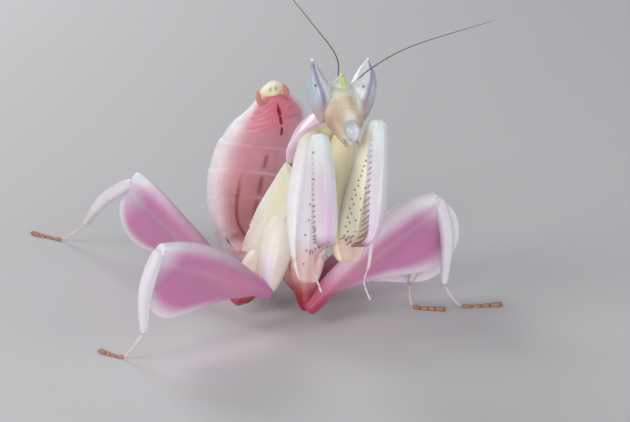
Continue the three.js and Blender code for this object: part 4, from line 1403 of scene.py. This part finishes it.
class MantisSizes(PropertyGroup):
    petal_reach: FloatProperty(
        name="Petal reach", description="How far a walking femur's lobe stands out from its axis",
        default=0.0067, min=0.003, max=0.0067, unit="LENGTH", subtype="DISTANCE", precision=4)
    rim_width: FloatProperty(
        name="Pale rim", description="Width of the pale rim of each lobe",
        default=0.0022, min=0.0002, max=0.004, unit="LENGTH", subtype="DISTANCE", precision=4)
    feeler_radius: FloatProperty(
        name="Feeler radius", description="Radius of the feelers at their base",
        default=0.00007, min=0.00004, max=0.00025, unit="LENGTH", subtype="DISTANCE", precision=5)
    girth: FloatProperty(
        name="Abdomen girth", description="Abdomen girth as a share of the solid's",
        default=1.0, min=0.8, max=1.0, subtype="FACTOR")
    spines: FloatProperty(
        name="Spine length", description="Length of the foreleg spines as a share of the usual",
        default=1.0, min=0.3, max=1.5, subtype="FACTOR")


class MantisColours(PropertyGroup):
    # Petal: partly the lobes' own pink and partly a painted violet cast of light bounced from a purple flower
    petal: colour_property("Petal", "Middle of the lobes", (0.6, 0.23, 0.44))
    petal_glow: colour_property("Petal glow", "Warm pink beside the lobe's rib", (0.66, 0.27, 0.4))
    petal_rim: colour_property("Petal rim", "Rims, knees and shins", (0.84, 0.82, 0.87))
    # Deep red: partly the leg bases' own colour and partly painted shade under the body
    deep_red: colour_property("Deep red", "Bases of the walking legs", (0.3, 0.012, 0.03))
    cream: colour_property("Cream", "Underside of the trunk and forelegs", (0.93, 0.86, 0.6))
    lavender: colour_property("Lavender", "Outer side of the forelegs", (0.76, 0.74, 0.84))
    abdomen: colour_property("Abdomen", "Back of the abdomen", (0.68, 0.32, 0.38))
    coral: colour_property("Coral", "Last rings of the abdomen", (0.8, 0.2, 0.27))
    lime: colour_property("Lime", "Vertex horn", (0.6, 0.68, 0.2))
    face: colour_property("Face", "Front of the head", (0.63, 0.54, 0.4))
    eye: colour_property("Eye", "Compound eyes", (0.47, 0.54, 0.62))
    stripe: colour_property("Eye stripe", "Stripes of the eyes", (0.26, 0.21, 0.33))
    foot: colour_property("Foot", "Ends of the feet", (0.35, 0.1, 0.02))
    dark: colour_property("Dark marks", "Spine tips and dashes", (0.07, 0.015, 0.01))
    floor: colour_property("Floor", "Studio floor", (0.66, 0.66, 0.66))


# ---------------------------------------------------------------- operators


class MANTIS_OT_head(Operator):
    """Adds the head capsule with its palps, the vertex horn and the upper lip"""
    bl_idname = "mantis.head"
    bl_label = "Head"

    def execute(self, context):
        add_piece("head_shell", skull_patches(), cuticle("Face shell"), ["head"])
        add_piece("vertex_horn_shell", crown_patches(), cuticle("Lime horn"), ["vertex_horn"])
        add_piece("labrum_shell", labrum_patches(), cuticle("Glossy lip"), ["labrum"])
        return {"FINISHED"}


class MANTIS_OT_eyes(Operator):
    """Adds the two pointed compound eyes"""
    bl_idname = "mantis.eyes"
    bl_label = "Eyes"

    def execute(self, context):
        for side, name in ((-1, "eye_right"), (1, "eye_left")):
            add_piece(name + "_dome", eye_patches(name, side), cuticle("Eye"), [name])
        return {"FINISHED"}


class MANTIS_OT_feelers(Operator):
    """Adds the two jointed antennae"""
    bl_idname = "mantis.feelers"
    bl_label = "Feelers"

    def execute(self, context):
        radius = context.scene.mantis_sizes.feeler_radius / MM
        for name, line in ANTENNAE.items():
            add_piece(name + "_thread", antenna_patches(line, radius), cuticle("Feeler"), [name])
        return {"FINISHED"}


class MANTIS_OT_thorax(Operator):
    """Adds the pronotum, the prothorax with the neck, the thorax and the wing pads"""
    bl_idname = "mantis.thorax"
    bl_label = "Thorax"

    def execute(self, context):
        add_piece("pronotum_shield", pronotum_patches(), cuticle("Lilac shield"), ["pronotum"])
        trunk = cuticle("Cream trunk")
        add_piece("prothorax_skin", prothorax_patches(), trunk, ["prothorax", "neck"])
        add_piece("thorax_skin", thorax_patches(), trunk, ["mesothorax", "metathorax"])
        finishes = {"forewing_pad": cuticle("Wing pad"), "hindwing_pad": cuticle("Peach wing pad")}
        for side, word in ((-1, "right"), (1, "left")):
            for name, steps in WING_PADS.items():
                node = name + "_" + word
                add_piece(node + "_leaf", wing_pad_patches(steps, side), finishes[name], [node])
        return {"FINISHED"}


class MANTIS_OT_abdomen(Operator):
    """Adds the curled abdomen as one skin, the plate over its end and the two cerci"""
    bl_idname = "mantis.abdomen"
    bl_label = "Abdomen"

    def execute(self, context):
        girth = context.scene.mantis_sizes.girth
        rings = ["abdomen_%d" % number for number in range(1, len(RING_ENDS) + 1)]
        add_piece("abdomen_skin", abdomen_patches(girth), cuticle("Abdomen skin"), rings)
        plate = cuticle("Tail plate")
        add_piece("supra_anal_plate_shell", tail_patches(), plate, ["supra_anal_plate"])
        for name, line in CERCI.items():
            add_piece(name + "_beads", cercus_patches(line), cuticle("Cercus"), [name])
        return {"FINISHED"}


class MANTIS_OT_walking_legs(Operator):
    """Adds the four walking legs with their petal lobes, spurs and feet"""
    bl_idname = "mantis.walking_legs"
    bl_label = "Walking legs"

    def execute(self, context):
        sizes = context.scene.mantis_sizes
        petal, red, lavender, shin, foot = (cuticle(name) for name in (
            "Petal", "Deep red hip", "Lavender hip", "Petal shin", "Foot"))
        for name, leg in WALKING_LEGS.items():
            pale = name == PALE_LEG
            redness = 0.0 if pale else 0.95
            olive = 0.9 if name.startswith("hindleg") else 0.0
            hip, slot = (lavender, "lavender") if pale else (red, "deep_red")
            add_piece(name + "_hip", coxa_patches(leg, pale), hip, [name + "_coxa"])
            femur = femur_patches(leg, sizes.petal_reach / MM, sizes.rim_width / MM, redness)
            add_piece(name + "_petal", femur, petal, [name + "_femur"])
            add_piece(name + "_shin", tibia_patches(leg, olive), shin, [name + "_tibia"])
            add_piece(name + "_foot", tarsus_patches(leg), foot, [name + "_tarsus"])
        return {"FINISHED"}


class MANTIS_OT_forelegs(Operator):
    """Adds the two folded grasping forelegs with their spines, combs and feet"""
    bl_idname = "mantis.forelegs"
    bl_label = "Forelegs"

    def execute(self, context):
        spines = context.scene.mantis_sizes.spines
        arm, blade, coxa, thread = (cuticle(name) for name in (
            "Lavender arm", "Lilac blade", "Cream coxa", "Lilac foot"))
        for name, leg in FORELEGS.items():
            add_piece(name + "_thigh", fore_femur_patches(leg, spines), arm, [name + "_femur"])
            shin = fore_tibia_patches(leg, spines)
            add_piece(name + "_blade", shin, blade, [name + "_tibia"])
            add_piece(name + "_arm", fore_coxa_patches(leg), coxa, [name + "_coxa"])
            add_piece(name + "_thread", fore_tarsus_patches(leg), thread, [name + "_tarsus"])
        return {"FINISHED"}


def add_light(name, place, size, power, colour):
    """A round area light that faces the animal."""
    lamp = bpy.data.lights.new(name, "AREA")
    lamp.shape = "DISK"
    lamp.size = size
    lamp.energy = power
    lamp.color = colour
    light = bpy.data.objects.new(name, lamp)
    bpy.context.scene.collection.objects.link(light)
    light.location = place
    way = Vector(LIGHTS_AIM) - Vector(place)
    light.rotation_euler = way.to_track_quat("-Z", "Y").to_euler()


def add_floor(colour):
    """The studio floor: a strip that runs back, curves up in a quarter circle and ends as a wall."""
    turn = np.linspace(0, np.pi / 2, COVE_ROWS)
    back = COVE_START + COVE_RADIUS * np.sin(turn)
    rise = COVE_RADIUS * (1 - np.cos(turn))
    depth = np.concatenate([[-FLOOR_REACH], back, [back[-1]]])
    height = np.concatenate([[0.0], rise, [FLOOR_REACH]])
    left = np.stack([0 * depth - FLOOR_REACH, depth, height], axis=-1)
    right = left + np.array([2 * FLOOR_REACH, 0, 0])
    rows = len(depth)
    faces = [(k, k + rows, k + rows + 1, k + 1) for k in range(rows - 1)]
    mesh = bpy.data.meshes.new("studio_floor")
    mesh.from_pydata(np.concatenate([left, right]).tolist(), [], faces)
    floor = bpy.data.objects.new("studio_floor", mesh)
    bpy.context.scene.collection.objects.link(floor)
    material = bpy.data.materials.new("Studio floor")
    material.use_nodes = True
    shader = material.node_tree.nodes["Principled BSDF"]
    shader.inputs["Base Color"].default_value = (*colour, 1.0)
    shader.inputs["Roughness"].default_value = 0.8
    mesh.materials.append(material)


def add_camera():
    """The camera, ahead of the animal and above the floor."""
    scene = bpy.context.scene
    aim = (AIM - STANCE_CENTRE * np.array([1, 1, 0])) * MM
    way = np.array([0, -math.cos(CAMERA_ELEVATION), math.sin(CAMERA_ELEVATION)])
    lens = bpy.data.cameras.new("camera")
    lens.lens = CAMERA_LENS
    lens.sensor_width = SENSOR_WIDTH
    lens.clip_start = 0.01
    lens.clip_end = 20.0
    camera = bpy.data.objects.new("camera", lens)
    camera.location = aim + CAMERA_REACH * MM * way
    camera.rotation_euler = (math.pi / 2 - CAMERA_ELEVATION, 0, 0)
    scene.collection.objects.link(camera)
    scene.camera = camera


class MANTIS_OT_stage(Operator):
    """Adds the pale floor, the studio lights and the camera"""
    bl_idname = "mantis.stage"
    bl_label = "Stage"

    def execute(self, context):
        scene = context.scene
        add_floor(scene.mantis_colours.floor)
        add_camera()
        for name, lamp in LIGHTS.items():
            add_light(name, *lamp)
        world = bpy.data.worlds.new("Studio")
        scene.world = world
        world.use_nodes = True
        background = world.node_tree.nodes["Background"]
        background.inputs["Color"].default_value = WORLD_COLOUR
        background.inputs["Strength"].default_value = WORLD_STRENGTH
        scene.view_settings.view_transform = "Standard"
        return {"FINISHED"}


class MANTIS_PT_panel(Panel):
    """The mantis pieces, sizes and colours"""
    bl_idname = "MANTIS_PT_panel"
    bl_label = "Orchid Mantis"
    bl_space_type = "VIEW_3D"
    bl_region_type = "UI"
    bl_category = "Mantis"

    def draw(self, context):
        for operator in OPERATORS:
            self.layout.operator(operator.bl_idname)
        for group in (context.scene.mantis_sizes, context.scene.mantis_colours):
            for key in type(group).__annotations__:
                self.layout.prop(group, key)


OPERATORS = (
    MANTIS_OT_head, MANTIS_OT_eyes, MANTIS_OT_feelers, MANTIS_OT_thorax, MANTIS_OT_abdomen,
    MANTIS_OT_walking_legs, MANTIS_OT_forelegs, MANTIS_OT_stage,
)
CLASSES = (MantisSizes, MantisColours, *OPERATORS, MANTIS_PT_panel)


def register():
    for cls in CLASSES:
        bpy.utils.register_class(cls)
    bpy.types.Scene.mantis_sizes = PointerProperty(type=MantisSizes)
    bpy.types.Scene.mantis_colours = PointerProperty(type=MantisColours)


def unregister():
    del bpy.types.Scene.mantis_colours
    del bpy.types.Scene.mantis_sizes
    for cls in reversed(CLASSES):
        bpy.utils.unregister_class(cls)


def main():
    register()
    for operator in OPERATORS:
        group, name = operator.bl_idname.split(".")
        getattr(getattr(bpy.ops, group), name)()


if __name__ == "__main__":
    main()
